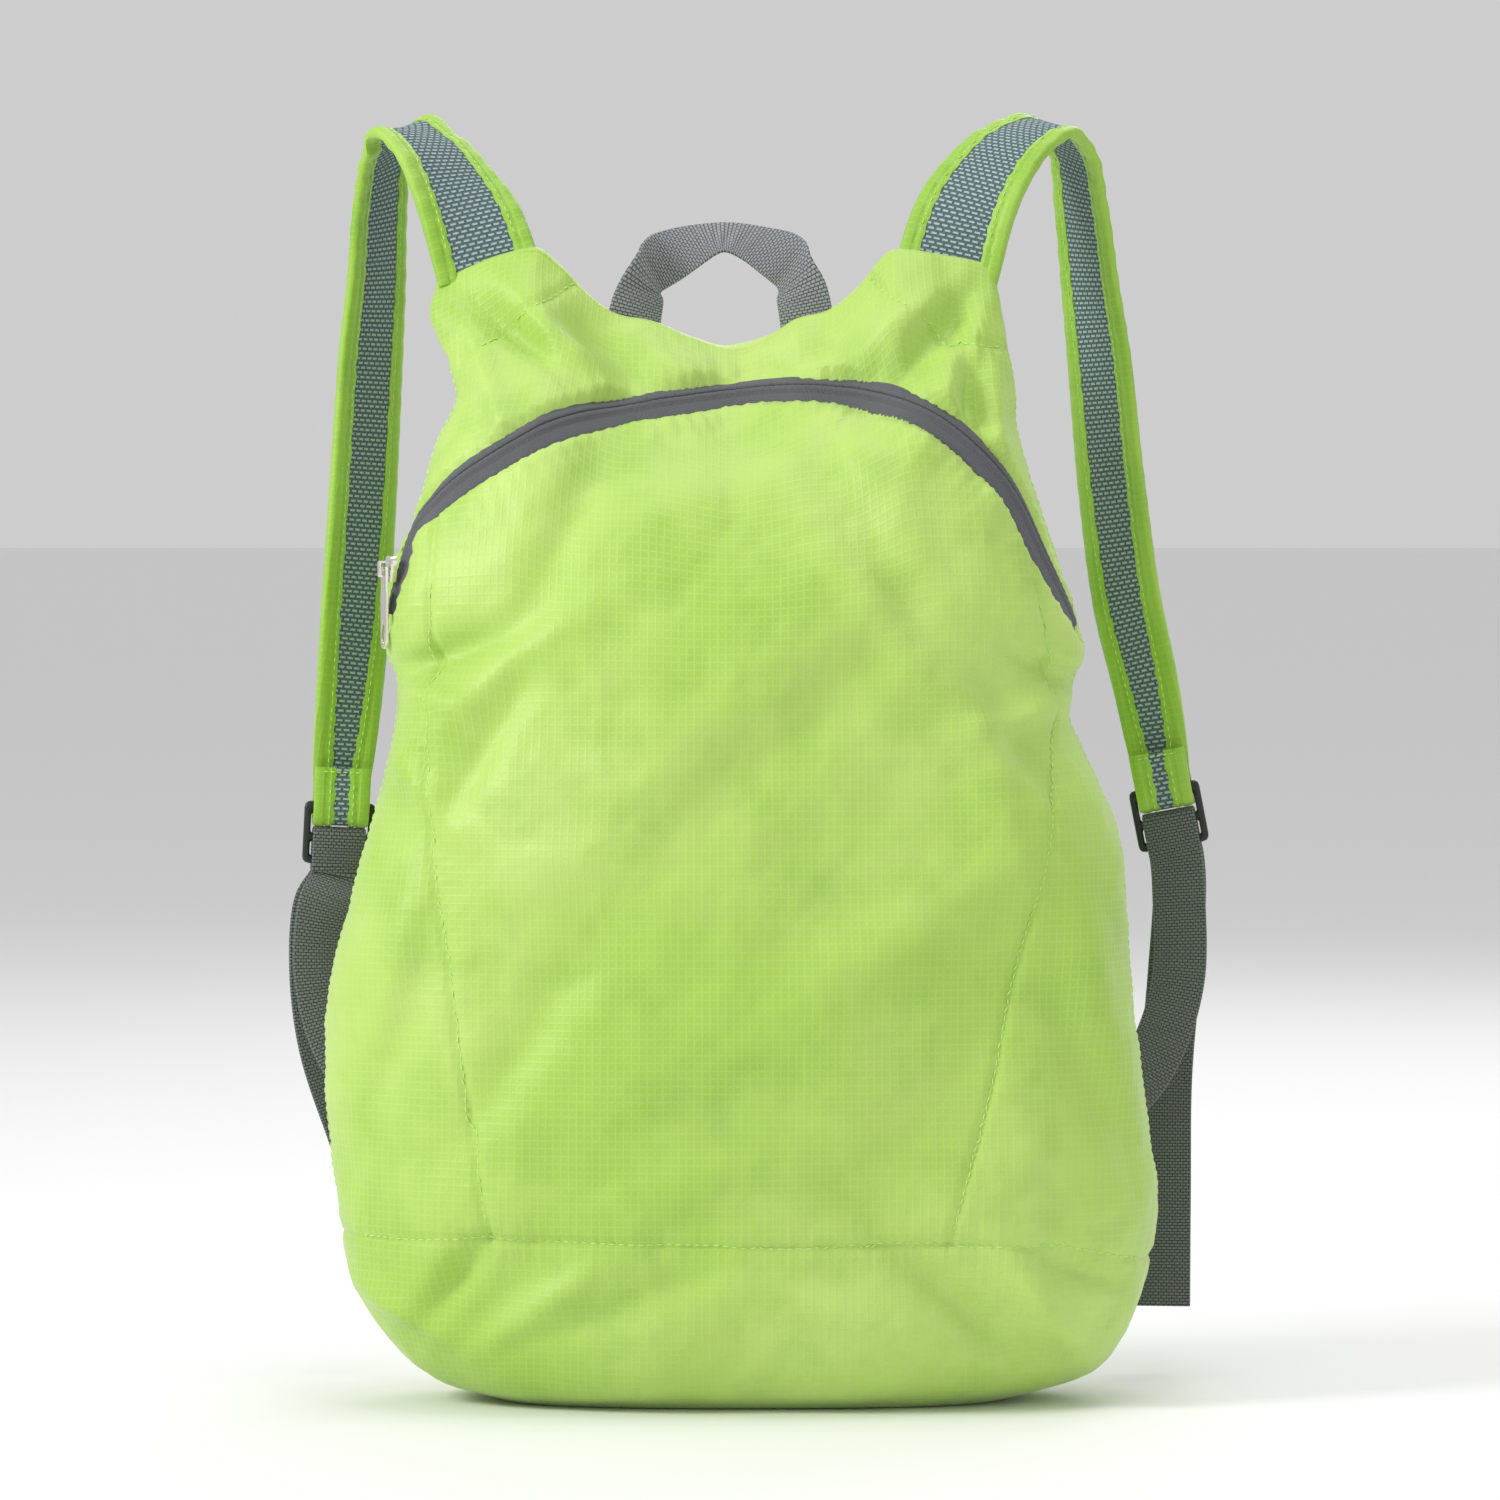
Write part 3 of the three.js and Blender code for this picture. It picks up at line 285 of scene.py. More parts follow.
# Creases finer than the folds: the place of each as shares, its reach along and beside it in
# millimetres, its lean in degrees and its depth as a share of CREASE_DEPTH
CREASE_DEPTH = 2.8 * MM
CREASES = table(
    "side across up along beside lean deep",
    (-1, -0.74, 0.645, 26, 6, 20, -2.6),
    (-1, -0.8, 0.615, 20, 5, -15, 2.0),
    (-1, -0.68, 0.6, 26, 6, 42, 1.6),
    (-1, -0.64, 0.56, 34, 7, 60, -1.6),
    (-1, -0.76, 0.53, 24, 6, -50, 1.4),
    (-1, 0.76, 0.63, 22, 5, -25, -2.4),
    (-1, 0.72, 0.6, 24, 6, 15, 1.8),
    (-1, 0.66, 0.57, 28, 7, -55, -1.6),
    (-1, 0.6, 0.52, 36, 9, -70, 1.4),
    (-1, -0.55, 0.925, 26, 5, -35, -2.6),
    (-1, -0.42, 0.905, 34, 6, -48, 1.9),
    (-1, -0.3, 0.9, 34, 6, -30, -1.7),
    (-1, -0.62, 0.88, 22, 5, -70, 1.6),
    (-1, -0.2, 0.892, 40, 7, -12, 1.3),
    (-1, 0.12, 0.9, 34, 6, 14, -1.4),
    (-1, 0.3, 0.915, 30, 6, 35, 1.8),
    (-1, 0.4, 0.9, 32, 6, 48, -2.2),
    (-1, 0.5, 0.885, 30, 6, 66, 1.8),
    (-1, 0.55, 0.86, 34, 5, -80, -2.2),
    (-1, 0.6, 0.83, 30, 5, 85, 1.6),
    (-1, 0.3, 0.8, 40, 10, -60, 1.2),
    (-1, -0.1, 0.78, 60, 14, 20, 1.2),
    (-1, -0.45, 0.74, 40, 9, 65, -1.2),
    (-1, -0.5, 0.66, 36, 8, 30, 1.2),
    (-1, 0.4, 0.68, 50, 9, -65, -1.3),
    (-1, 0.48, 0.62, 50, 8, -50, 1.3),
    (-1, 0.1, 0.58, 60, 14, 40, -1.2),
    (-1, -0.25, 0.46, 55, 12, -20, 1.1),
    (-1, 0.35, 0.4, 60, 12, 35, 1.2),
    (-1, -0.5, 0.33, 50, 9, 55, -1.2),
    (-1, -0.82, 0.4, 40, 8, 80, 1.3),
    (-1, -0.86, 0.3, 50, 8, 70, -1.4),
    (-1, 0.84, 0.36, 45, 8, -75, 1.3),
    (-1, 0.88, 0.25, 40, 7, -60, -1.4),
    (-1, 0.15, 0.22, 60, 10, -25, -1.1),
    (-1, -0.15, 0.2, 55, 10, 12, 1.1),
    (-1, -0.7, 0.11, 24, 6, 55, -2.0),
    (-1, -0.5, 0.09, 26, 6, 35, 1.5),
    (-1, -0.25, 0.1, 30, 7, 20, -1.2),
    (-1, 0.2, 0.09, 34, 7, -18, 1.2),
    (-1, 0.5, 0.1, 28, 6, -40, -1.6),
    (-1, 0.72, 0.09, 24, 6, -55, 1.8),
    (-1, 0.82, 0.12, 20, 5, -20, -1.6),
    (-1, -0.85, 0.09, 22, 5, -30, 1.6),
    (1, -0.5, 0.88, 40, 8, 60, -2.0),
    (1, 0.5, 0.88, 40, 8, -60, -2.0),
    (1, 0.0, 0.86, 50, 9, 90, 1.6),
    (1, -0.3, 0.7, 50, 9, 40, 1.6),
    (1, 0.3, 0.68, 50, 9, -45, 1.6),
    (1, -0.55, 0.55, 40, 8, -20, -1.8),
    (1, 0.6, 0.5, 40, 8, 25, -1.8),
    (1, 0.1, 0.45, 70, 12, 10, 1.8),
    (1, -0.2, 0.32, 60, 11, -15, -1.6),
    (1, 0.4, 0.28, 50, 9, 35, 1.5),
    (1, -0.6, 0.22, 40, 8, -50, 1.5),
    (1, 0.2, 0.18, 60, 9, 8, -1.4),
    (1, -0.5, 0.09, 30, 7, 40, -1.5),
    (1, 0.5, 0.09, 30, 7, -40, 1.5),
)


# Places on the bag's form
def hermite(t, a, b, slope_a, slope_b):
    """Values a share t of the way from a to b, smooth with the slopes at both."""
    return (
        (2 * t**3 - 3 * t**2 + 1) * a
        + (t**3 - 2 * t**2 + t) * slope_a
        + (3 * t**2 - 2 * t**3) * b
        + (t**3 - t**2) * slope_b
    )


def run_length(line):
    """How far along a line each of its points is."""
    return np.concatenate([[0], np.cumsum(np.linalg.norm(np.diff(line, axis=0), axis=1))])


def unit(vectors):
    """The same vectors at length one."""
    return vectors / (np.linalg.norm(vectors, axis=-1, keepdims=True) + 1e-12)


def grid_quads(grid):
    """The corners of each quad of a grid of rows, as rows of four."""
    corners = [grid[:-1, :-1], grid[:-1, 1:], grid[1:, 1:], grid[1:, :-1]]
    return np.stack(corners, 2).reshape(-1, 4, *grid.shape[2:])


def look_up(rows, place, column, at):
    """Smooth values of one column at places along another column."""
    x, y = rows[place], rows[column]
    at = np.clip(at, x[0], x[-1])
    i = np.clip(np.searchsorted(x, at, side="left") - 1, 0, len(x) - 2)
    low = np.maximum(np.arange(len(x)) - 1, 0)
    high = np.minimum(np.arange(len(x)) + 1, len(x) - 1)
    slope = (y[high] - y[low]) / (x[high] - x[low])
    step = x[i + 1] - x[i]
    t = (at - x[i]) / step
    return hermite(t, y[i], y[i + 1], step * slope[i], step * slope[i + 1])


def ridges(rows, side, x, z, along_unit, beside_unit, deep_unit):
    """Sum of the long soft ridges of a table at places on one side."""
    out = np.zeros_like(x)
    for i in range(len(rows["side"])):
        lean = math.radians(rows["lean"][i])
        dx = x - rows["across"][i] * HALF
        dz = z - rows["up"][i] * HEIGHT
        along = (dx * math.cos(lean) + dz * math.sin(lean)) / (rows["along"][i] * along_unit)
        beside = (dz * math.cos(lean) - dx * math.sin(lean)) / (rows["beside"][i] * beside_unit)
        ridge = rows["deep"][i] * deep_unit * np.exp(-(along**2) - beside**2)
        out += np.where(side == rows["side"][i], ridge, 0)
    return out


def reach_at(side, up):
    """The share of the half width that the bag reaches at a height, on one side or the other."""
    left = look_up(SECTIONS, "up", "left", up)
    right = look_up(SECTIONS, "up", "right", up)
    return np.where(side < 0, left, right)


def place(across, deep, up):
    """Points of the bag's form: across and deep from -1 to 1, up from 0 to 1."""
    front = look_up(SECTIONS, "up", "front", up) * DEPTH
    back = look_up(SECTIONS, "up", "back", up) * DEPTH
    t = np.clip((up - RISE_START) / (1 - RISE_START), 0, 1)
    rise = t * t * (3 - 2 * t)
    x = across * reach_at(across, up) * HALF
    z = (up + (look_up(TOP_EDGE, "across", "up", across) - 1) * rise) * HEIGHT
    side = np.where(deep < 0, -1, 1)
    relief = ridges(FOLDS, side, x, z, HALF, HEIGHT, DEPTH)
    y = (front + back) / 2 + deep * (back - front) / 2 + deep * relief
    return np.stack([x, y, z], -1)


OUTLINE_TRIES = 25


def on_front(x, z):
    """Points of the bag's front form at places of the front view, held to its outline."""
    up = z / HEIGHT
    across = np.zeros_like(x)
    for _ in range(OUTLINE_TRIES):
        across = np.clip(x / (reach_at(x, up) * HALF), -1, 1)
        up = up + (z - place(across, np.zeros_like(up), up)[..., 2]) / HEIGHT
    deep = -((1 - np.abs(across) ** SQUARENESS) ** (1 / SQUARENESS))
    return place(across, deep, up)


def catmull(points, steps):
    """Points and their row numbers along a centripetal curve through the given points."""
    p = np.array(points, float)
    p = np.vstack([2 * p[0] - p[1], p, 2 * p[-1] - p[-2]])
    out = []
    for i in range(1, len(p) - 2):
        d = [max(np.linalg.norm(p[i + k] - p[i + k - 1]) ** 0.5, 1e-6) for k in range(3)]
        a, b, c, e = p[i - 1], p[i], p[i + 1], p[i + 2]
        t1 = ((b - a) / d[0] - (c - a) / (d[0] + d[1]) + (c - b) / d[1]) * d[1]
        t2 = ((c - b) / d[1] - (e - b) / (d[1] + d[2]) + (e - c) / d[2]) * d[1]
        last = i == len(p) - 3
        for t in np.linspace(0, 1, steps + 1)[: steps + 1 if last else steps]:
            out.append(hermite(t, b, c, t1, t2))
    return np.array(out)


def drawn(rows, steps=8):
    """A smooth line through the rows of a table drawn on the front, as x and z."""
    return catmull(np.stack([rows["across"] * HALF, rows["up"] * HEIGHT], -1), steps)


def distance(points, line):
    """Distance from each point to a line, and how far along the line it is."""
    best = np.full(len(points), FAR)
    along = np.zeros(len(points))
    start = 0.0
    for a, b in zip(line[:-1], line[1:]):
        run = b - a
        length = np.linalg.norm(run)
        t = np.clip((points - a) @ run / length**2, 0, 1)
        off = points - a - t[:, None] * run
        d = np.linalg.norm(off, axis=1)
        near = d < best
        best = np.where(near, d, best)
        along = np.where(near, start + t * length, along)
        start += length
    return best, along


LINES = {
    "zip": drawn(ZIP_LINE),
    "left": drawn(LEFT_SEAM),
    "right": drawn(RIGHT_SEAM),
    "bottom": drawn(BOTTOM_SEAM),
    "left_corner": drawn(LEFT_CORNER_SEAM),
    "right_corner": drawn(RIGHT_CORNER_SEAM),
}


def height_of(name, x, left=None, right=None):
    """The height of a line of the front view at places across it."""
    return np.interp(x, LINES[name][:, 0], LINES[name][:, 1], left=left, right=right)


def within(line, share):
    """The part of a line of the front view that lies within a share of the bag's width."""
    reach = reach_at(line[:, 0], line[:, 1] / HEIGHT)
    return line[np.abs(line[:, 0]) < reach * HALF * share]


def evenly(line, step):
    """The same line with its points a step apart."""
    length = run_length(line)
    at = np.linspace(0, length[-1], max(2, int(length[-1] / step)))
    return np.stack([np.interp(at, length, line[:, k]) for k in range(line.shape[1])], -1)


LINE_STEP = 1.5 * MM
LINE_SHARE = 0.985


def laid(line, share=LINE_SHARE):
    """A line of the front view as it lies on the form."""
    flat = evenly(within(line, share), LINE_STEP)
    return on_front(flat[:, 0], flat[:, 1])


LAID = {name: laid(line) for name, line in LINES.items()}


# Objects and materials
def new_object(name, vertices, faces, material, uv=None, smooth=True):
    """A mesh object of the given points and faces, with its map in metres if one is given."""
    mesh = bpy.data.meshes.new(name)
    mesh.from_pydata([tuple(v) for v in vertices], [], [tuple(f) for f in faces])
    if uv is not None:
        layer = mesh.uv_layers.new(name="flat")
        uv = np.asarray(uv)
        if uv.ndim == 2:
            corner = np.zeros(len(mesh.loops), int)
            mesh.loops.foreach_get("vertex_index", corner)
            uv = uv[corner]
        layer.data.foreach_set("uv", uv.ravel())
    mesh.polygons.foreach_set("use_smooth", [smooth] * len(mesh.polygons))
    mesh.materials.append(material)
    obj = bpy.data.objects.new(name, mesh)
    bpy.context.scene.collection.objects.link(obj)
    return obj


class Nodes:
    """A short hand for building a material's nodes."""

    def __init__(self, name):
        """A new material with its shader."""
        self.material = bpy.data.materials.new(name)
        self.material.use_nodes = True
        self.tree = self.material.node_tree
        self.shader = self.tree.nodes["Principled BSDF"]

    def add(self, kind, inputs=None, **settings):
        """A new node with its inputs and settings."""
        node = self.tree.nodes.new(kind)
        for key, value in settings.items():
            setattr(node, key, value)
        for key, value in (inputs or {}).items():
            self.put(value, node.inputs[key])
        return node

    def flat_map(self):
        """The cloth's own map, in metres."""
        return self.add("ShaderNodeUVMap", uv_map="flat").outputs[0]

    def spots(self, scale, detail, at=None):
        """Soft noise at places of the map, or at the object's own places."""
        if at is None:
            at = self.add("ShaderNodeTexCoord").outputs["Object"]
        inputs = {"Vector": at, "Scale": scale, "Detail": detail}
        return self.add("ShaderNodeTexNoise", inputs).outputs[0]

    def put(self, value, socket):
        """A link or a plain value for one socket."""
        if isinstance(value, bpy.types.NodeSocket):
            self.tree.links.new(value, socket)
        else:
            socket.default_value = value

    def math(self, operation, a, b=0.0, clamp=False):
        """The result of one sum on two values."""
        node = self.add("ShaderNodeMath", {0: a, 1: b}, operation=operation, use_clamp=clamp)
        return node.outputs[0]

    def mix(self, share, a, b):
        """The color a share of the way from a to b."""
        node = self.add("ShaderNodeMix", data_type="RGBA")
        self.put(share, node.inputs["Factor"])
        self.put(a, node.inputs[6])
        self.put(b, node.inputs[7])
        return node.outputs[2]

    def finish(self, color, height=None, strength=0.3, reach=0.4 * MM, **values):
        """The finished material, with a fine bump where a height is given."""
        self.put(color, self.shader.inputs["Base Color"])
        for key, value in values.items():
            self.put(value, self.shader.inputs[key.replace("_", " ")])
        if height is not None:
            bump = self.add("ShaderNodeBump", {"Height": height, "Distance": reach, "Strength": strength})
            self.put(bump.outputs[0], self.shader.inputs["Normal"])
        return self.material


def grid_lines(n, uv, pitch, width):
    """Soft thin lines both ways at a pitch, 1 on a line."""
    split = n.add("ShaderNodeSeparateXYZ", {0: uv})
    shares = []
    for axis in (0, 1):
        turns = n.math("MULTIPLY", split.outputs[axis], 1 / pitch)
        wave = n.math("ABSOLUTE", n.math("SUBTRACT", n.math("FRACT", turns), 0.5))
        shares.append(n.math("SUBTRACT", 1.0, n.math("MULTIPLY", wave, pitch / width), clamp=True))
    return n.math("MAXIMUM", shares[0], shares[1])


GRID_PITCH = 2.8 * MM
GRID_LINE = 0.55 * MM


def ripstop(name, deep, mid, pale):
    """Thin ripstop nylon: a fine grid of thicker threads, soft cloudy tone and a little glow. The cloudy
    tone is partly random and partly painted light: its pale patches are painted highlights and its deep
    patches painted shade of folds.
    """
    n = Nodes(name)
    tone_and_highlight_cloud = n.spots(9.0, 3.0)
    bump_and_shade_streak = n.spots(34.0, 4.0)
    lines = grid_lines(n, n.flat_map(), GRID_PITCH, GRID_LINE)
    # Painted highlight, partly random tone: the cloud lifts the cloth towards its palest colour in soft
    # patches
    tone_and_highlight_ramp = n.math("MULTIPLY", n.math("SUBTRACT", tone_and_highlight_cloud, 0.38), 3.4, clamp=True)
    tone = n.mix(tone_and_highlight_ramp, mid, pale)
    # Painted shade, partly random tone: the streaks darken the cloth towards its deepest colour in
    # patches that stand in for the shade of folds
    tone = n.mix(n.math("MULTIPLY", n.math("SUBTRACT", bump_and_shade_streak, 0.5, clamp=True), 1.8), tone, deep)
    tone = n.mix(n.math("MULTIPLY", lines, 0.4), tone, pale)
    height = n.math("ADD", lines, n.math("MULTIPLY", bump_and_shade_streak, 0.8))
    return n.finish(
        tone,
        height,
        strength=0.35,
        reach=0.25 * MM,
        Roughness=0.5,
        Sheen_Weight=0.25,
        Sheen_Roughness=0.4,
    )


RIB_GAP = 0.28 * MM
RIB_WIDE = 2.0 * MM
RIB_HIGH = 1.15 * MM
TAPE_RIB_WIDE = 3.0 * MM
TAPE_RIB_HIGH = 0.5 * MM


def webbing_material(name, dark, light, across_pitch, along_pitch):
    """Woven webbing: staggered rows of short ribs."""
    n = Nodes(name)
    uv = n.flat_map()
    brick = n.add(
        "ShaderNodeTexBrick",
        {
            "Vector": uv,
            "Scale": 1.0,
            "Mortar Size": RIB_GAP,
            "Mortar Smooth": 1.0,
            "Brick Width": across_pitch,
            "Row Height": along_pitch,
            "Color1": light,
            "Color2": light,
            "Mortar": dark,
        },
    )
    spots = n.spots(900.0, 2.0, uv)
    tone = n.mix(n.math("MULTIPLY", spots, 0.5), brick.outputs[0], dark)
    height = n.math("SUBTRACT", 1.0, brick.outputs[1])
    return n.finish(tone, height, strength=0.8, reach=0.4 * MM, Roughness=0.85, Sheen_Weight=0.15)


HOLE_SIZE = 0.6 * MM
LOOP_WIDE = 3.2 * MM
LOOP_HIGH = 1.8 * MM


def mesh_material():
    """Spacer mesh: pale thread loops in staggered rows over a dark ground."""
    n = Nodes("air_mesh")
    uv = n.flat_map()
    brick = n.add(
        "ShaderNodeTexBrick",
        {
            "Vector": uv,
            "Scale": 1.0,
            "Mortar Size": HOLE_SIZE,
            "Mortar Smooth": 0.7,
            "Brick Width": LOOP_WIDE,
            "Row Height": LOOP_HIGH,
        },
    )
    holes = brick.outputs[1]
    thread = n.spots(1600.0, 3.0, uv)
    loops = n.mix(thread, (0.16, 0.27, 0.29, 1), (0.62, 0.68, 0.68, 1))
    ground = n.mix(thread, (0.035, 0.075, 0.075, 1), (0.1, 0.19, 0.2, 1))
    tone = n.mix(holes, loops, ground)
    height = n.math("ADD", n.math("SUBTRACT", 1.0, holes), n.math("MULTIPLY", thread, 0.4))
    return n.finish(tone, height, strength=1.0, reach=0.8 * MM, Roughness=0.8)


def plain_material(name, color, roughness, metallic=0.0, grain=40.0, depth=0.05):
    """A moulded or plated surface with a faint grain."""
    n = Nodes(name)
    spots = n.spots(grain, 6.0)
    paler = tuple(min(1, c * 1.5 + 0.02) for c in color[:3]) + (1,)
    worn = n.mix(n.math("MULTIPLY", spots, 0.25), color, paler)
    n.put(n.math("ADD", roughness, n.math("MULTIPLY", spots, 0.1)), n.shader.inputs["Roughness"])
    return n.finish(worn, spots, strength=depth, reach=0.3 * MM, Metallic=metallic)


# The palest and deepest colours of each cloth below serve also as painted highlight and painted shade
LIME = ripstop("lime_cloth", (0.22, 0.44, 0.03, 1), (0.37, 0.59, 0.08, 1), (0.5, 0.69, 0.17, 1))
BIND = ripstop("lime_binding", (0.15, 0.37, 0.015, 1), (0.28, 0.52, 0.04, 1), (0.38, 0.6, 0.09, 1))
HANDLE_WEAVE = webbing_material(
    "handle_webbing", (0.05, 0.055, 0.06, 1), (0.36, 0.38, 0.39, 1), RIB_WIDE, RIB_HIGH
)
WEBBING = webbing_material(
    "webbing", (0.014, 0.017, 0.016, 1), (0.19, 0.215, 0.2, 1), RIB_WIDE, RIB_HIGH
)
TAPE_CLOTH = webbing_material(
    "zip_tape", (0.09, 0.095, 0.105, 1), (0.19, 0.2, 0.215, 1), TAPE_RIB_WIDE, TAPE_RIB_HIGH
)
MESH = mesh_material()
GREY_THREAD = plain_material("grey_thread", (0.13, 0.14, 0.145, 1), 0.7, grain=900.0, depth=0.3)
THREAD = plain_material("lime_thread", (0.5, 0.8, 0.2, 1), 0.6, grain=900.0, depth=0.3)
PLASTIC = plain_material("black_plastic", (0.012, 0.012, 0.013, 1), 0.35, grain=300.0)
METAL = plain_material("bright_metal", (0.78, 0.74, 0.66, 1), 0.16, metallic=1.0, grain=120.0)

# The cloth skin: a grid of rings round the bag, with the number of quads on each side, the
# share of the height from ring to ring, and the rings of the base and of the top ridge
SIDE_COLUMNS = 220
LEVEL_STEP = 0.0042
FLOOR_RINGS = 12
FLOOR_HOLE = 0.04
RIDGE_ROWS = 5
RIDGE_RISE = 1.2 * MM
ARC_STEPS = 2001


def ring():
    """Shares across and deep round a section, starting at the right and going by the back."""
    angle = np.linspace(0, math.pi / 2, ARC_STEPS)
    c = np.cos(angle) ** (2 / SQUARENESS)
    s = np.sin(angle) ** (2 / SQUARENESS)
    length = run_length(np.stack([c * WIDTH, s * DEPTH], -1))
    goal = np.linspace(0, length[-1], SIDE_COLUMNS // 2 + 1)
    c, s = np.interp(goal, length, c), np.interp(goal, length, s)
    half_c = np.concatenate([c, -c[-2::-1]])
    half_s = np.concatenate([s, s[-2::-1]])
    across = np.concatenate([half_c[:-1], half_c[::-1][:-1]])
    deep = np.concatenate([half_s[:-1], -half_s[::-1][:-1]])
    return across, deep


# How deep the cloth's relief is and how far it reaches: crumples, the pinch of a seam with its
# puckers, the zip's bed with the puckers beside it, and the line down each side
CRUMPLE = 1.5 * MM
FINE_CRUMPLE = 1.2 * MM
CRUMPLE_SCALE = 26.0
FINE_CRUMPLE_SCALE = 15.0
PINCH_DEPTH = 1.3 * MM
PINCH_REACH = 1.5 * MM
PUCKER_DEPTH = 0.45 * MM
PUCKER_LENGTH = 4.6 * MM
PUCKER_DRIFT = 31 * MM
PUCKER_REACH = 6 * MM
BED_DEPTH = 1.7 * MM
BED_MARGIN = 0.4 * MM
BED_EDGE = 0.35 * MM
ZIP_PUCKER_DEPTH = 0.5 * MM
ZIP_PUCKER_LENGTH = 6.3 * MM
ZIP_PUCKER_DRIFT = 23 * MM
ZIP_PUCKER_REACH = 7 * MM
SIDE_LINE_DEPTH = 0.9 * MM
SIDE_LINE_REACH = 0.05
SIDE_LINE_START = 0.15


def rippled(s, length, drift, sway):
    """A wave along a line whose length drifts a little."""
    return np.sin(s / length * 2 * math.pi + sway * np.sin(s / drift))


def fine_relief(points, deep):
    """How far the cloth stands out at each point: creases, puckers, seams and the zip's bed."""
    x, z = points[:, 0], points[:, 2]
    side = np.where(deep < 0, -1, 1)
    near_edge = np.clip(np.abs(deep) * 1.6, 0, 1)
    out = ridges(CREASES, side, x, z, MM, MM, CREASE_DEPTH) * near_edge
    crumple = np.array([noise.fractal(Vector(p) * CRUMPLE_SCALE, 0.9, 2.1, 4) for p in points])
    fine = np.array([
        noise.ridged_multi_fractal(Vector(p) * FINE_CRUMPLE_SCALE, 1.0, 2.0, 3, 0.9, 1.6)
        for p in points
    ])
    out += CRUMPLE * crumple + FINE_CRUMPLE * (fine - fine.mean())
    flat = np.stack([x, z], -1)
    zip_z = height_of("zip", x)
    below_zip = (z < zip_z) & (z > height_of("bottom", x) - MM)
    everywhere = np.ones(len(points), bool)
    for name, on in (
        ("left", below_zip),
        ("right", below_zip),
        ("bottom", everywhere),
        ("left_corner", z > zip_z),
        ("right_corner", z > zip_z),
    ):
        if name == "bottom":
            d, s = distance(flat, LINES[name])
        else:
            d, s = distance(points, LAID[name])
        pinched = np.exp(-((d / PINCH_REACH) ** 2))
        wave = rippled(s, PUCKER_LENGTH, PUCKER_DRIFT, 3)
        pucker = PUCKER_DEPTH * wave * np.exp(-d / PUCKER_REACH) * (1 - pinched)
        out += np.where(on, pucker - pinched * PINCH_DEPTH, 0)
    d, s = distance(points, ZIP_RUN)
    bed = 0.5 - 0.5 * np.tanh((d - TAPE / 2 - BED_MARGIN) / (2 * BED_EDGE))
    near = np.exp(-np.clip(d - TAPE / 2, 0, 1) / ZIP_PUCKER_REACH)
    wave = rippled(s, ZIP_PUCKER_LENGTH, ZIP_PUCKER_DRIFT, 2.5)
    edge = near * ZIP_PUCKER_DEPTH * (1 + wave)
    out = out * (1 - bed) + edge * (1 - bed) - bed * BED_DEPTH
    middle = np.exp(-((deep / SIDE_LINE_REACH) ** 2)) * SIDE_LINE_DEPTH
    return out - middle * (z > SIDE_LINE_START * HEIGHT)


def make_form():
    """The bag's plain form as a fine grid of rings, with each row's shares of depth."""
    across, deep = ring()
    count = len(across)
    levels = np.concatenate([
        np.linspace(a, b, max(3, int(round((b - a) / LEVEL_STEP))), endpoint=False)
        for a, b in zip(SECTIONS["up"][:-1], SECTIONS["up"][1:])
    ] + [[1.0]])
    rows, depths = [], []
    base = place(across, deep, np.zeros(count))
    for share in np.linspace(FLOOR_HOLE, 1, FLOOR_RINGS, endpoint=False):
        inner = base.copy()
        inner[:, :2] = base[:, :2].mean(0) + share * (base[:, :2] - base[:, :2].mean(0))
        rows.append(inner)
        depths.append(deep)
    for up in levels:
        rows.append(place(across, deep, np.full(count, up)))
        depths.append(deep)
    top = rows[-1]
    middle = place(across, np.zeros(count), np.ones(count))
    for k in range(1, RIDGE_ROWS + 1):
        angle = k / RIDGE_ROWS * math.pi / 2
        ridge = middle + (top - middle) * math.cos(angle)
        ridge[:, 2] += RIDGE_RISE * math.sin(angle)
        rows.append(ridge)
        depths.append(deep)
    return np.array(rows), np.array(depths)


def tree_of(grid):
    """A search tree of a grid of rings, closed round."""
    total, count = grid.shape[:2]
    index = np.arange(total * count).reshape(total, count)
    quads = grid_quads(np.concatenate([index, index[:, :1]], 1))
    return BVHTree.FromPolygons(grid.reshape(-1, 3).tolist(), quads.tolist()), quads


FORM, FORM_DEEP = make_form()
FORM_TREE, QUADS = tree_of(FORM)
COUNT = FORM.shape[1]


def snapped(tree, points):
    """The nearest points of a surface, and its normals there."""
    found = [tree.find_nearest(Vector(p)) for p in points]
    return np.array([f[0][:] for f in found]), np.array([f[1][:] for f in found])


def run_on(line, steps, step):
    """A line on the form, carried on at both ends along the surface."""
    line = list(line)
    for _ in range(steps):
        first = line[0] + unit(line[0] - line[2]) * step
        last = line[-1] + unit(line[-1] - line[-3]) * step
        ends = snapped(FORM_TREE, [first, last])[0]
        line = [ends[0]] + line + [ends[1]]
    return np.array(line)


# The zip's run by its slider, and the steps of its line that are added past each end, left out
# at the slider's end, and passed over from one point of the curve to the next
PAST_SLIDER = table(
    "across deep up",
    (-0.975, -0.2, 0.685),
    (-0.985, -0.28, 0.728),
)
ZIP_STEPS_ON = 6
ZIP_STEPS_LEFT_OUT = 8
ZIP_STEPS_BETWEEN = 6


def zip_run():
    """The zip's middle line: down past its slider on the left side, and on past the right seam."""
    past_slider = place(PAST_SLIDER["across"], PAST_SLIDER["deep"], PAST_SLIDER["up"])
    line = run_on(LAID["zip"], ZIP_STEPS_ON, LINE_STEP)[ZIP_STEPS_LEFT_OUT:]
    joined = evenly(catmull([*past_slider, *line[::ZIP_STEPS_BETWEEN]], 8), LINE_STEP)
    return snapped(FORM_TREE, joined)[0]


ZIP_RUN = zip_run()


BASE_FADE_ROWS = 5
TOP_FADE_ROWS = 6


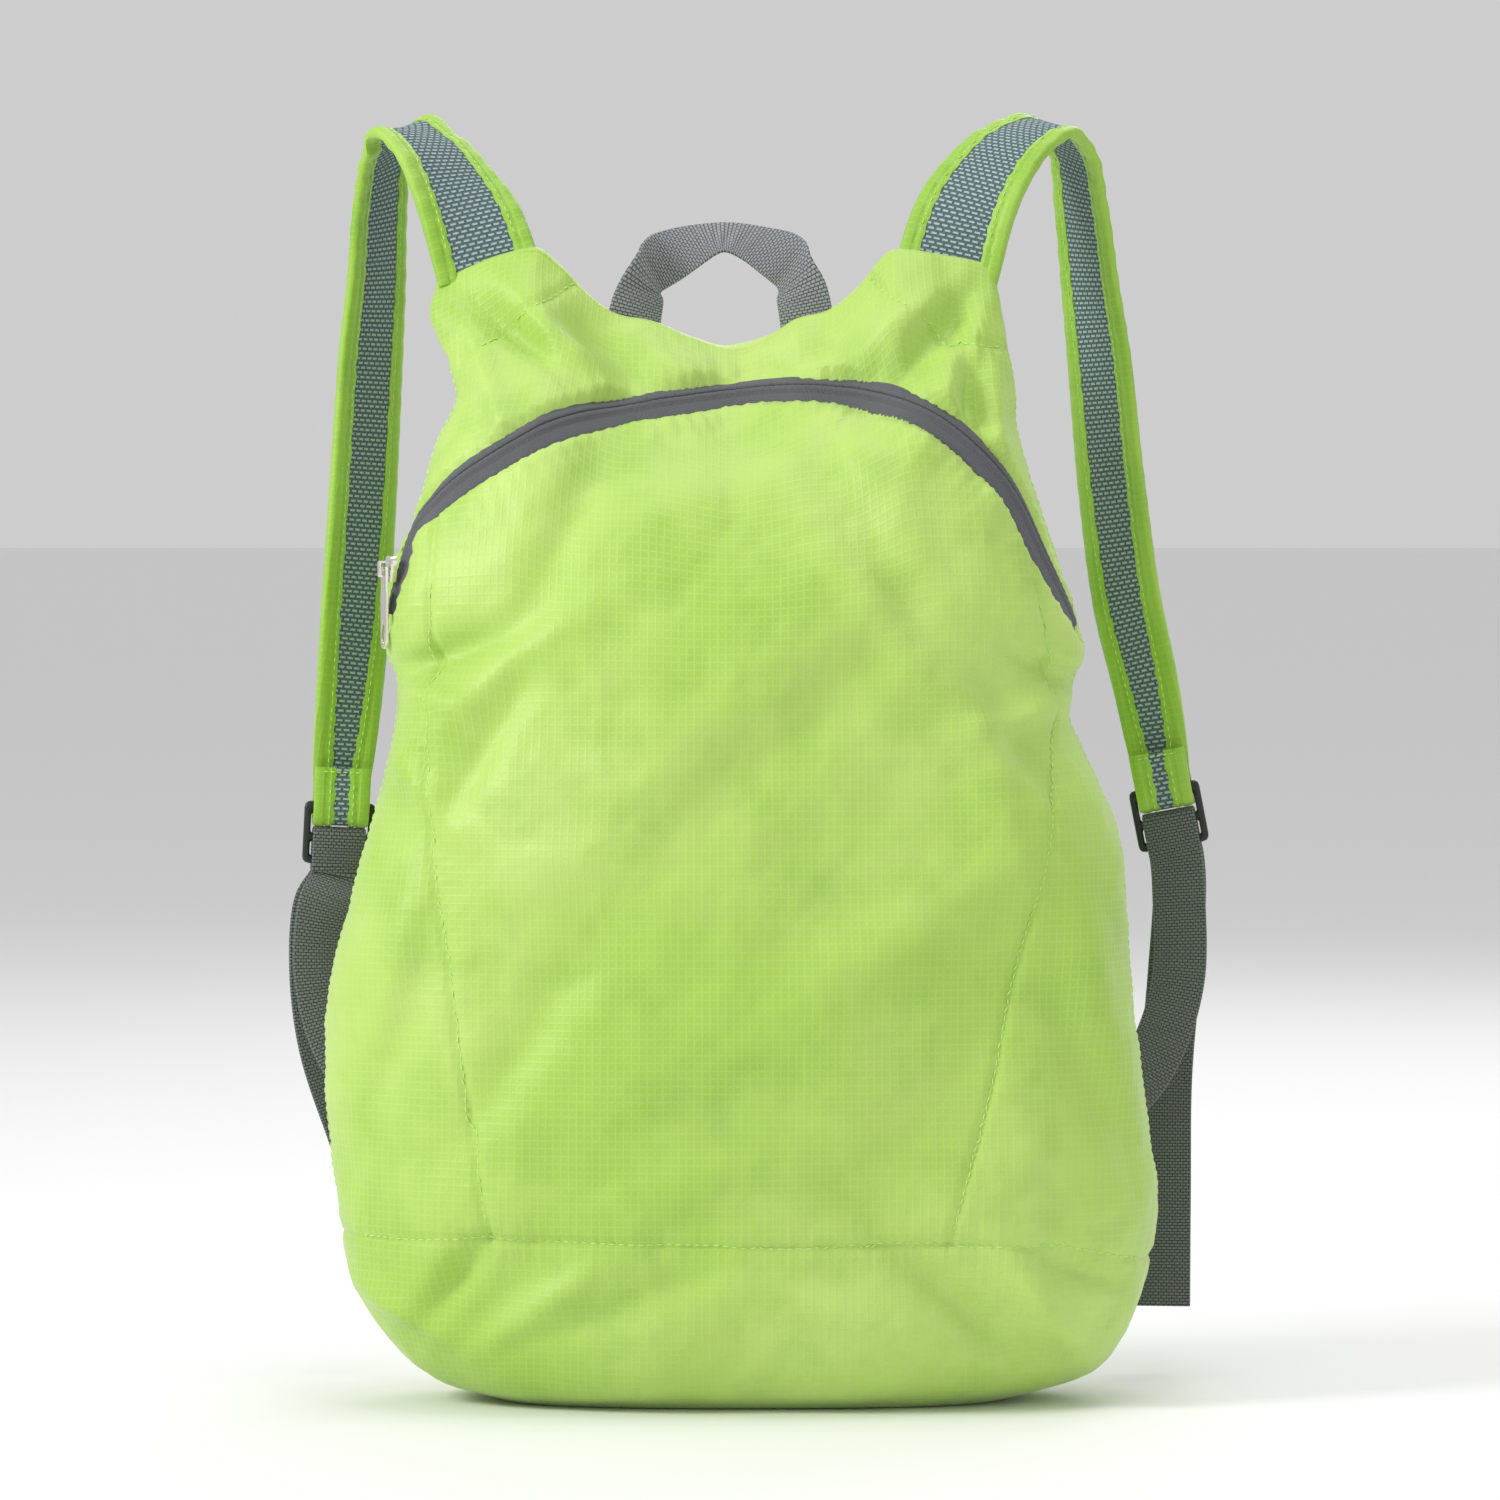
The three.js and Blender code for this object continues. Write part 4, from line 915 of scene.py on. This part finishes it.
def make_skin():
    """The bag's cloth as one fine skin over the form."""
    grid = FORM
    total = len(grid)
    around = np.roll(grid, -1, 1) - np.roll(grid, 1, 1)
    rise = np.concatenate([grid[1:2] - grid[:1], grid[2:] - grid[:-2], grid[-1:] - grid[-2:-1]])
    normal = unit(np.cross(around, rise))
    points = grid.reshape(-1, 3)
    relief = fine_relief(points, FORM_DEEP.reshape(-1)).reshape(total, COUNT)
    row_number = np.arange(total)
    from_base = np.clip((row_number - FLOOR_RINGS) / BASE_FADE_ROWS, 0, 1)
    from_top = np.clip((total - 1 - row_number) / TOP_FADE_ROWS, 0, 1)
    relief *= (from_base * from_top)[:, None]
    moved = grid + normal * relief[..., None]
    moved[..., 2] = np.maximum(moved[..., 2], 0)
    return moved


GRID = make_skin()
SKIN_TREE = tree_of(GRID)[0]


def cloth_map(back):
    """The cloth's map in metres at each quad's corners, measured from the middle of one side."""
    closed = np.concatenate([FORM, FORM[:, :1]], 1)
    arc = np.cumsum(np.linalg.norm(np.diff(closed, axis=1), axis=2), 1)
    arc = np.concatenate([np.zeros((len(FORM), 1)), arc], 1)
    middle = COUNT // 4 if back else COUNT * 3 // 4
    across = arc - arc[:, middle : middle + 1]
    height = run_length(FORM[:, middle])[:, None] + np.zeros_like(across)
    return grid_quads(np.stack([across, height], -1))


def piece_of(x, z, deep):
    """The sewn piece that a place of the skin belongs to."""
    left = np.interp(z, LINES["left"][::-1, 1], LINES["left"][::-1, 0])
    right = np.interp(z, LINES["right"][::-1, 1], LINES["right"][::-1, 0])
    above = z > height_of("zip", x)
    left_corner = height_of("left_corner", x, right=FAR)
    right_corner = height_of("right_corner", x, left=FAR)
    found = np.full(x.shape, "front_panel", dtype="<U24")
    found[x < left] = "left_side_panel"
    found[x > right] = "right_side_panel"
    found[above] = "yoke"
    found[above & (x < 0) & (z > left_corner)] = "left_shoulder_corner"
    found[above & (x > 0) & (z > right_corner)] = "right_shoulder_corner"
    found[deep > 0] = "back_panel"
    found[z < height_of("bottom", x)] = "bottom_panel"
    return found


def cut_skin():
    """One object for each sewn piece, with the whole skin's normals so that no edge shows."""
    flat = GRID.reshape(-1, 3)
    quads = QUADS
    face_normal = np.cross(flat[quads[:, 2]] - flat[quads[:, 0]], flat[quads[:, 3]] - flat[quads[:, 1]])
    normals = np.zeros_like(flat)
    for k in range(4):
        np.add.at(normals, quads[:, k], face_normal)
    ridge = np.arange(COUNT) + (len(GRID) - 1) * COUNT
    mirror = (-np.arange(COUNT)) % COUNT
    normals[ridge] = normals[ridge] + normals[ridge[mirror]]
    normals = unit(normals)
    centre = flat[quads].mean(1)
    deep = FORM_DEEP.reshape(-1)[quads].mean(1)
    names = piece_of(centre[:, 0], centre[:, 2], deep)
    maps = {True: cloth_map(True), False: cloth_map(False)}
    for name in sorted(set(names)):
        mine = quads[names == name]
        uv = maps[name == "back_panel"][names == name]
        used, inverse = np.unique(mine, return_inverse=True)
        obj = new_object(f"{name}_cloth", flat[used], inverse.reshape(-1, 4), LIME, uv)
        obj.data.normals_split_custom_set_from_vertices([tuple(v) for v in normals[used]])
        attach(obj, "bag")
        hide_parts(name)


# Strips: the straps, the webbings and the handle
def sweep(name, rows, section, material, replaced=(), steps=10):
    """A strip along rows of (centre, crossing, wide, thick).

    section(wide, thick, s) gives its closed outline as sideways and outward places at a length
    s. The object comes back with the middle line, its ways across and outwards, and its sizes.
    """
    centres = catmull([r[0] for r in rows], steps)
    crossings = catmull([r[1] for r in rows], steps)
    share = np.linspace(0, len(rows) - 1, len(centres))
    wide = np.interp(share, range(len(rows)), [r[2] for r in rows])
    thick = np.interp(share, range(len(rows)), [r[3] for r in rows])
    run = unit(np.gradient(centres, axis=0))
    cross = unit(crossings - run * np.sum(crossings * run, 1)[:, None])
    face = np.cross(run, cross)
    length = run_length(centres)
    vertices, uv = [], []
    for i, centre in enumerate(centres):
        outline = section(wide[i], thick[i], length[i])
        for sideways, out in outline:
            vertices.append(centre + cross[i] * sideways + face[i] * out)
            uv.append((sideways, length[i]))
    size = len(outline)
    faces = []
    for i in range(len(centres) - 1):
        for k in range(size):
            a, b = i * size + k, i * size + (k + 1) % size
            faces.append((a, b, b + size, a + size))
    faces.append(tuple(range(size))[::-1])
    faces.append(tuple((len(centres) - 1) * size + k for k in range(size)))
    obj = new_object(name, vertices, faces, material, uv)
    edges = obj.modifiers.new("edges", "EDGE_SPLIT")
    edges.split_angle = math.radians(60)
    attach(obj, "bag")
    for node in replaced:
        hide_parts(node)
    return obj, centres, cross, face, wide, thick


def direction(turn, tilt):
    """The way a strip's crossing points, turned about the vertical and tilted up."""
    a = math.radians(turn)
    b = math.radians(tilt)
    return np.array([math.cos(a) * math.cos(b), math.sin(a) * math.cos(b), math.sin(b)])


def spot(across, back, up):
    """A point from shares of the half width, depth and height."""
    return np.array([across * HALF, back * DEPTH, up * HEIGHT])


def webbing_rows(rows):
    """The rows of a sweep for a table of a webbing."""
    return [
        (spot(a, b, u), direction(t, l), WEBBING_WIDE, WEBBING_THICK)
        for a, b, u, t, l in zip(rows["across"], rows["back"], rows["up"], rows["turn"], rows["tilt"])
    ]


def strap_rows(rows):
    """The rows of a sweep for a table of a strap, which narrows to its end."""
    out = []
    for i in range(len(rows["across"])):
        taper = rows["taper"][i]
        out.append((
            spot(rows["across"][i], rows["back"][i], rows["up"][i]),
            direction(rows["turn"][i], rows["tilt"][i]),
            STRAP_WIDE + (STRAP_END_WIDE - STRAP_WIDE) * taper,
            STRAP_THICK + (STRAP_END_THICK - STRAP_THICK) * taper,
        ))
    return out


def buckle_axes(buckle):
    """A buckle's middle, and its ways across, down and backwards."""
    u = direction(buckle["turn"], buckle["lean"])
    v = np.array([0, 0, -1.0])
    v = unit(v - u * (v @ u))
    return spot(buckle["across"], buckle["back"], buckle["up"]), u, v, np.cross(u, v)


SECOND_BAR = BUCKLE_BAR + FIRST_SLOT
THIRD_BAR = SECOND_BAR + BUCKLE_BAR + SECOND_SLOT
BAR_REACH = BUCKLE_BAR / 2 * math.sqrt(2) + GAP


def in_frame(axes, down, backward):
    """A point so far down and backwards from a buckle's middle."""
    origin, _, v, n = axes
    return origin + v * down + n * backward


def round_bar(axes, down, bulk, wide, thick, side, turn, slack=0.0, steps=6):
    """Rows of a strip that turns round a bar, a little slack at its end."""
    rows = []
    for i in range(steps + 1):
        angle = i / steps * math.pi
        radius = BAR_REACH + bulk / 2
        lower = down + turn * math.sin(angle) * (radius + slack)
        centre = in_frame(axes, lower, side * math.cos(angle) * radius)
        rows.append((centre, axes[1], wide, thick))
    return rows


def rounded(low, high, thick, count=5):
    """A flat outline with round edges between two sideways places."""
    r = thick / 2
    out = []
    for middle, turn in ((high - r, -0.5), (low + r, 0.5)):
        for k in range(count):
            a = (turn + k / (count - 1)) * math.pi
            out.append((middle + math.cos(a) * r, math.sin(a) * r))
    return out


def webbing_section(wide, thick, _s):
    """The outline of a webbing, the same all along it."""
    return rounded(-wide / 2, wide / 2, thick)


MESH_TUCK = 1.6 * MM
MESH_CROWN = 0.35
MESH_STEPS = 8


def mesh_section(wide, thick, _s):
    """The outline of a strap's mesh: crowned, and tucked a little under the bindings."""
    reach = wide / 2 - BINDING + MESH_TUCK
    out = []
    for sign in (1, -1):
        for k in range(MESH_STEPS + 1):
            side = reach * (1 - 2 * k / MESH_STEPS) * sign
            crown = 0.5 * thick * (1 - MESH_CROWN * (side / reach) ** 4)
            out.append((side, crown * sign))
    return out


# A binding's half thickness as shares, from its outer edge to its inner one: the dip is the seam
BINDING_PROFILE = [0.55, 0.86, 1.0, 1.04, 0.98, 0.72, 0.97, 0.9, 0.78]
SCALLOP_DEPTH = 0.35 * MM
SCALLOP_LENGTH = 7.5 * MM
SCALLOP_DRIFT = 40 * MM
EDGE_WANDER = 0.25 * MM
EDGE_WANDER_LENGTH = 52 * MM
EDGE_OVERHANG = 0.2 * MM
PUFF = 0.12
PUFF_LENGTH = 9.5 * MM


def binding_section(sign):
    """The outline of the binding along one edge of a strap, puckered by its seam."""
    def section(wide, thick, s):
        """The binding's outline at a length along the strap."""
        scallop = SCALLOP_DEPTH * rippled(s, SCALLOP_LENGTH, SCALLOP_DRIFT, 2)
        outer = wide / 2 + EDGE_OVERHANG + EDGE_WANDER * math.sin(s / EDGE_WANDER_LENGTH + sign)
        inner = wide / 2 - BINDING + scallop
        full = (thick + BINDING_EXTRA) / 2 * (1 + PUFF * math.sin(s / PUFF_LENGTH * 2 * math.pi))
        sides = np.linspace(outer, inner, len(BINDING_PROFILE))
        top = [(side, full * share) for side, share in zip(sides, BINDING_PROFILE)]
        low = [(side, -out) for side, out in top[::-1]]
        return [(sign * side, sign * out) for side, out in top + low]
    return section


# Each kind of stitch: its pitch, its length and its half thickness
SEAM_STITCH = (3.4 * MM, 2.3 * MM, 0.26 * MM)
EDGE_STITCH = (3.2 * MM, 2.0 * MM, 0.2 * MM)
FLAP_STITCH = (2.4 * MM, 1.7 * MM, 0.22 * MM)
HEM_STITCH = (2.6 * MM, 1.8 * MM, 0.25 * MM)
ZIP_STITCH = (2.2 * MM, 1.5 * MM, 0.16 * MM)
STITCH_SIDES = 6
STITCH_PROFILE = ((0, 0.25), (0.25, 1), (0.75, 1), (1, 0.25))


def stitches(name, points, normals, kind, material=None):
    """A row of short raised stitches along a line."""
    pitch, long, thick = kind
    length = run_length(points)
    vertices, faces = [], []
    for at in np.arange(pitch, length[-1] - pitch, pitch):
        mid = np.array([np.interp(at, length, points[:, k]) for k in range(3)])
        end = np.array([np.interp(at + long, length, points[:, k]) for k in range(3)])
        up = np.array([np.interp(at, length, normals[:, k]) for k in range(3)])
        run = unit(end - mid)
        side = np.cross(up, run)
        start = len(vertices)
        for share, size in STITCH_PROFILE:
            for k in range(STITCH_SIDES):
                a = k / STITCH_SIDES * 2 * math.pi
                vertices.append(
                    mid + run * long * share
                    + side * math.cos(a) * thick * size
                    + up * math.sin(a) * thick * size
                )
        last = start + (len(STITCH_PROFILE) - 1) * STITCH_SIDES
        for low in range(start, last, STITCH_SIDES):
            for k in range(STITCH_SIDES):
                a = low + k
                b = low + (k + 1) % STITCH_SIDES
                faces.append((a, b, b + STITCH_SIDES, a + STITCH_SIDES))
        faces.append(tuple(start + k for k in reversed(range(STITCH_SIDES))))
        faces.append(tuple(last + k for k in range(STITCH_SIDES)))
    obj = new_object(name, vertices, faces, material or THREAD)
    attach(obj, "bag")
    return obj


FLAP_HEM = 1.6 * MM
FLAP_SLACK = 0.85 * MM
STITCH_LIFT = 0.15 * MM
EDGE_STITCH_IN = 1.7 * MM
EDGE_STITCH_OUT = 0.49
EDGE_STITCHED = slice(4, -2)
FLAP_ROW = 0.47
HEM_ROW = 0.46
HEM_BACK = 8


def row_across(middle, side, reach, count=13):
    """Points of a row across a strip, to a reach on each side of its middle."""
    return middle + np.outer(np.linspace(-reach, reach, count), side)


def make_strap(name, rows, buckle):
    """One shoulder strap: its mesh, both bindings, the flap round the buckle, and the seams."""
    axes = buckle_axes(buckle)
    bulk = STRAP_END_THICK + BINDING_EXTRA
    fold = round_bar(axes, 0, bulk, STRAP_END_WIDE, STRAP_END_THICK, 1, 1, FLAP_SLACK)
    before = (in_frame(axes, -STRAP_FLAP / 2, BAR_REACH + bulk / 2), *fold[0][1:])
    after = (in_frame(axes, -STRAP_FLAP, -BAR_REACH - bulk / 2), *fold[0][1:])
    path = strap_rows(rows) + [before] + fold + [after]
    pad, centres, cross, face, wide, thick = sweep(
        f"{name}_strap_air_mesh", path, mesh_section, MESH, [f"{name}_strap_mesh"]
    )
    for label, sign in (("right", 1), ("left", -1)):
        bound = f"{name}_strap_binding_{label}"
        sweep(f"{name}_strap_edge_{label}", path, binding_section(sign), BIND, [bound])
    flap_edge = in_frame(axes, FLAP_HEM - STRAP_FLAP, -BAR_REACH - bulk - STITCH_LIFT)
    row = row_across(flap_edge, axes[1], FLAP_ROW * STRAP_END_WIDE)
    outwards = np.repeat(-axes[3][None], len(row), 0)
    stitches(f"{name}_strap_flap_stitch", row, outwards, FLAP_STITCH)
    for label, sign in (("right", 1), ("left", -1)):
        for facing, where in ((1, "upper"), (-1, "under")):
            line = centres + cross * (sign * (wide / 2 - BINDING + EDGE_STITCH_IN))[:, None]
            line = line + face * (facing * EDGE_STITCH_OUT * (thick + BINDING_EXTRA))[:, None]
            title = f"{name}_strap_stitch_{label}_{where}"
            stitches(title, line[EDGE_STITCHED], (face * facing)[EDGE_STITCHED], EDGE_STITCH)


def make_webbing(name, anchor, tail, buckle):
    """One webbing: from the bag up through the buckle, round its bar and down as the tail."""
    axes = buckle_axes(buckle)
    fold = round_bar(axes, SECOND_BAR, WEBBING_THICK, WEBBING_WIDE, WEBBING_THICK, -1, -1)
    out = BAR_REACH + WEBBING_THICK / 2

    def past(share, side):
        """A row in front of or behind the lower bar, so many bars past it."""
        return (in_frame(axes, THIRD_BAR + share * BUCKLE_BAR, side * out), *fold[0][1:])

    up_front = [past(2, -1), past(0.5, -1)]
    down_behind = [past(0.5, 1), past(2, 1)]
    path = webbing_rows(anchor) + up_front + fold + down_behind + webbing_rows(tail)
    swept = sweep(
        f"{name}_webbing_weave", path, webbing_section, WEBBING, [f"{name}_webbing"]
    )
    _, centres, cross, face = swept[:4]
    hem = centres[-HEM_BACK - 1 : -HEM_BACK + 1].mean(0)
    middle = row_across(hem, cross[-HEM_BACK], HEM_ROW * WEBBING_WIDE)
    for label, facing in (("a", 1), ("b", -1)):
        outwards = np.repeat(facing * face[-HEM_BACK][None], len(middle), 0)
        line = middle + outwards * WEBBING_THICK / 2
        title = f"{name}_webbing_hem_{label}"
        stitches(title, line, outwards, HEM_STITCH, GREY_THREAD)


# The zip's section in millimetres, upwards across it and outwards: the wide lower tape, the
# two lips beside the closing line, and the narrow upper tape
ZIP_PROFILE = [
    (-7.6, -0.9),
    (-7.0, -0.2),
    (-5.0, 0.1),
    (-2.0, 0.2),
    (-0.6, 0.25),
    (-0.1, 0.8),
    (0.6, 1.05),
    (1.4, 1.1),
    (1.9, 1.0),
    (2.1, 0.5),
    (2.25, 0.1),
    (2.4, 0.5),
    (2.6, 1.0),
    (3.1, 1.1),
    (3.9, 1.05),
    (4.6, 0.8),
    (5.1, 0.25),
    (7.0, -0.2),
    (7.6, -0.9),
]
ZIP_STITCHES = {"under": -0.6, "over": 5.1}
ZIP_LIPS = (0.3, 4.2)
ZIP_DOWN = 1.35 * MM
ZIP_STEP = 0.9 * MM
TOOTH_DEPTH = 0.12
TOOTH_LENGTH = 1.3 * MM
ZIP_STITCH_LIFT = 0.05 * MM


def make_zip():
    """Two halves of tape with a raised lip each side of the closing line."""
    line = evenly(ZIP_RUN, ZIP_STEP)
    centre, normal = snapped(FORM_TREE, line)
    level = unit(np.cross(normal, unit(np.gradient(line, axis=0))))
    length = run_length(line)
    vertices, uv, seams = [], [], {}
    for sideways, out in ZIP_PROFILE:
        here, up = snapped(FORM_TREE, centre + level * sideways * MM)
        tooth = np.zeros(len(line))
        if ZIP_LIPS[0] < sideways < ZIP_LIPS[1]:
            tooth = TOOTH_DEPTH * np.sin(length / TOOTH_LENGTH * 2 * math.pi)
        vertices.append(here + up * ((out + tooth) * MM - ZIP_DOWN)[:, None])
        uv.append(np.stack([np.full(len(line), sideways * MM), length], -1))
        if sideways in ZIP_STITCHES.values():
            seams[sideways] = (vertices[-1] + up * ZIP_STITCH_LIFT, up)
    quads = grid_quads(np.arange(len(ZIP_PROFILE) * len(line)).reshape(-1, len(line)))
    points = np.array(vertices).reshape(-1, 3)
    tape = new_object("zip_tape_weave", points, quads, TAPE_CLOTH, np.array(uv).reshape(-1, 2))
    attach(tape, "bag")
    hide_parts("zip_tape", "zip_coil")
    for label, sideways in ZIP_STITCHES.items():
        points, up = seams[sideways]
        stitches(f"zip_stitch_{label}", points, up, ZIP_STITCH, GREY_THREAD)


# Hard parts, seams, light and camera
FLAT_ANGLE = 4
BEVEL_ANGLE = 40


def finer(node, bevel, material, body):
    """A copy of a hard solid with its edges rounded, in place of the plain one."""
    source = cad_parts[node]
    obj = bpy.data.objects.new(f"{node}_rounded", source.data.copy())
    bpy.context.scene.collection.objects.link(obj)
    work = bmesh.new()
    work.from_mesh(obj.data)
    bmesh.ops.remove_doubles(work, verts=work.verts, dist=1e-6)
    inner = [e for e in work.edges if len(e.link_faces) == 2]
    flat = [e for e in inner if e.calc_face_angle(0) < math.radians(FLAT_ANGLE)]
    bmesh.ops.dissolve_edges(work, edges=flat, use_verts=True)
    work.to_mesh(obj.data)
    work.free()
    obj.data.materials.clear()
    obj.data.materials.append(material)
    round_edges = obj.modifiers.new("round", "BEVEL")
    round_edges.width = bevel
    round_edges.segments = 3
    round_edges.limit_method = "ANGLE"
    round_edges.angle_limit = math.radians(BEVEL_ANGLE)
    obj.data.polygons.foreach_set("use_smooth", [True] * len(obj.data.polygons))
    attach(obj, body)
    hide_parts(node)
    return obj


SEAM_STITCH_LIFT = 0.1 * MM
SEAM_SPANS = {"left": (0.155, 0.72), "right": (0.15, 0.7), "bottom": (0, 1)}
SIDE_STITCH = -0.09
SIDE_STITCH_SPAN = (0.17, 0.93)
SIDE_STITCH_POINTS = 200


def seam_stitches(name, line, low=0, high=1):
    """A row of stitches along one seam between two heights, laid on the skin."""
    line = line[(line[:, 2] > low * HEIGHT) & (line[:, 2] < high * HEIGHT)]
    points, normals = snapped(SKIN_TREE, line)
    points += normals * SEAM_STITCH_LIFT
    stitches(name, points, normals, SEAM_STITCH)


WORLD_STRENGTH = 0.48
EXPOSURE = 0.35
AIM = (0, 0, 0.22)
FLOOR_SIZE = 60.0
FLOOR_DROP = 0.5 * MM
# Each light's name, place, size and power
LIGHTS = (
    ("key", (-1.7, -0.9, 1.3), 0.6, 20),
    ("fill", (1.5, -1.6, 0.7), 1.4, 2.5),
    ("rim", (0.6, 1.6, 1.5), 1.2, 8),
    ("top", (0.2, -0.1, 2.2), 1.0, 9),
)


def lights_and_floor():
    """Soft studio light on a pale floor."""
    scene = bpy.context.scene
    scene.view_settings.view_transform = "Standard"
    scene.view_settings.exposure = EXPOSURE
    world = bpy.data.worlds.new("studio")
    world.use_nodes = True
    world.node_tree.nodes["Background"].inputs[0].default_value = (1, 1, 1, 1)
    world.node_tree.nodes["Background"].inputs[1].default_value = WORLD_STRENGTH
    scene.world = world
    for name, where, size, power in LIGHTS:
        light = bpy.data.lights.new(name, "AREA")
        light.size = size
        light.energy = power
        obj = bpy.data.objects.new(name, light)
        obj.location = where
        aim = Vector(AIM) - Vector(where)
        obj.rotation_euler = aim.to_track_quat("-Z", "Y").to_euler()
        scene.collection.objects.link(obj)
    n = Nodes("floor")
    spots = n.add("ShaderNodeTexNoise", {"Scale": 3.0, "Detail": 2.0}).outputs[0]
    tone = n.mix(n.math("MULTIPLY", spots, 0.3), (0.9, 0.9, 0.9, 1), (0.86, 0.86, 0.87, 1))
    n.finish(tone, Roughness=0.7)
    size = FLOOR_SIZE
    corners = [(-size, -size, 0), (size, -size, 0), (size, size, 0), (-size, size, 0)]
    floor = new_object("floor", corners, [(0, 1, 2, 3)], n.material)
    floor.location.z = -FLOOR_DROP


# The photograph's scale, its size, and the pixels at the bag's middle and at its base
PIXEL = 0.3652 * MM
PHOTO_SIZE = 1500
MIDDLE_COLUMN = 746
BASE_ROW = 1398
CAMERA_AWAY = 2.6
CAMERA_ELEVATION = math.radians(2.0)


def camera():
    """A camera that frames the bag as the photograph does."""
    scene = bpy.context.scene
    half = PHOTO_SIZE / 2
    centre = Vector(((half - MIDDLE_COLUMN) * PIXEL, 0.0, (BASE_ROW - half) * PIXEL))
    data = bpy.data.cameras.new("camera")
    data.sensor_width = 36
    data.lens = data.sensor_width * CAMERA_AWAY / (PHOTO_SIZE * PIXEL)
    data.clip_end = 50
    obj = bpy.data.objects.new("camera", data)
    back = CAMERA_AWAY * math.cos(CAMERA_ELEVATION)
    rise = CAMERA_AWAY * math.sin(CAMERA_ELEVATION)
    obj.location = centre + Vector((0, -back, rise))
    obj.rotation_euler = (centre - obj.location).to_track_quat("-Z", "Y").to_euler()
    scene.collection.objects.link(obj)
    scene.camera = obj


camera()
lights_and_floor()
cut_skin()
make_zip()
make_strap("left", LEFT_STRAP, LEFT_BUCKLE)
make_strap("right", RIGHT_STRAP, RIGHT_BUCKLE)
make_webbing("left", LEFT_ANCHOR, LEFT_TAIL, LEFT_BUCKLE)
make_webbing("right", RIGHT_ANCHOR, RIGHT_TAIL, RIGHT_BUCKLE)
handle = webbing_rows(HANDLE)
sweep("grab_handle_weave", handle, webbing_section, HANDLE_WEAVE, ["grab_handle"])
finer("left_buckle", 0.9 * MM, PLASTIC, "bag")
finer("right_buckle", 0.9 * MM, PLASTIC, "bag")
finer("zip_slider", 0.25 * MM, METAL, "bag")
finer("zip_pull", 0.25 * MM, METAL, "pull")
for name, (low, high) in SEAM_SPANS.items():
    seam_stitches(f"{name}_seam_stitch", LAID[name], low, high)
rise = np.linspace(*SIDE_STITCH_SPAN, SIDE_STITCH_POINTS)
for name, across in (("left", -1.0), ("right", 1.0)):
    edge = place(np.full_like(rise, across), np.full_like(rise, SIDE_STITCH), rise)
    seam_stitches(f"{name}_side_stitch", edge)
for name in ("left_corner", "right_corner"):
    seam_stitches(f"{name}_stitch", LAID[name])
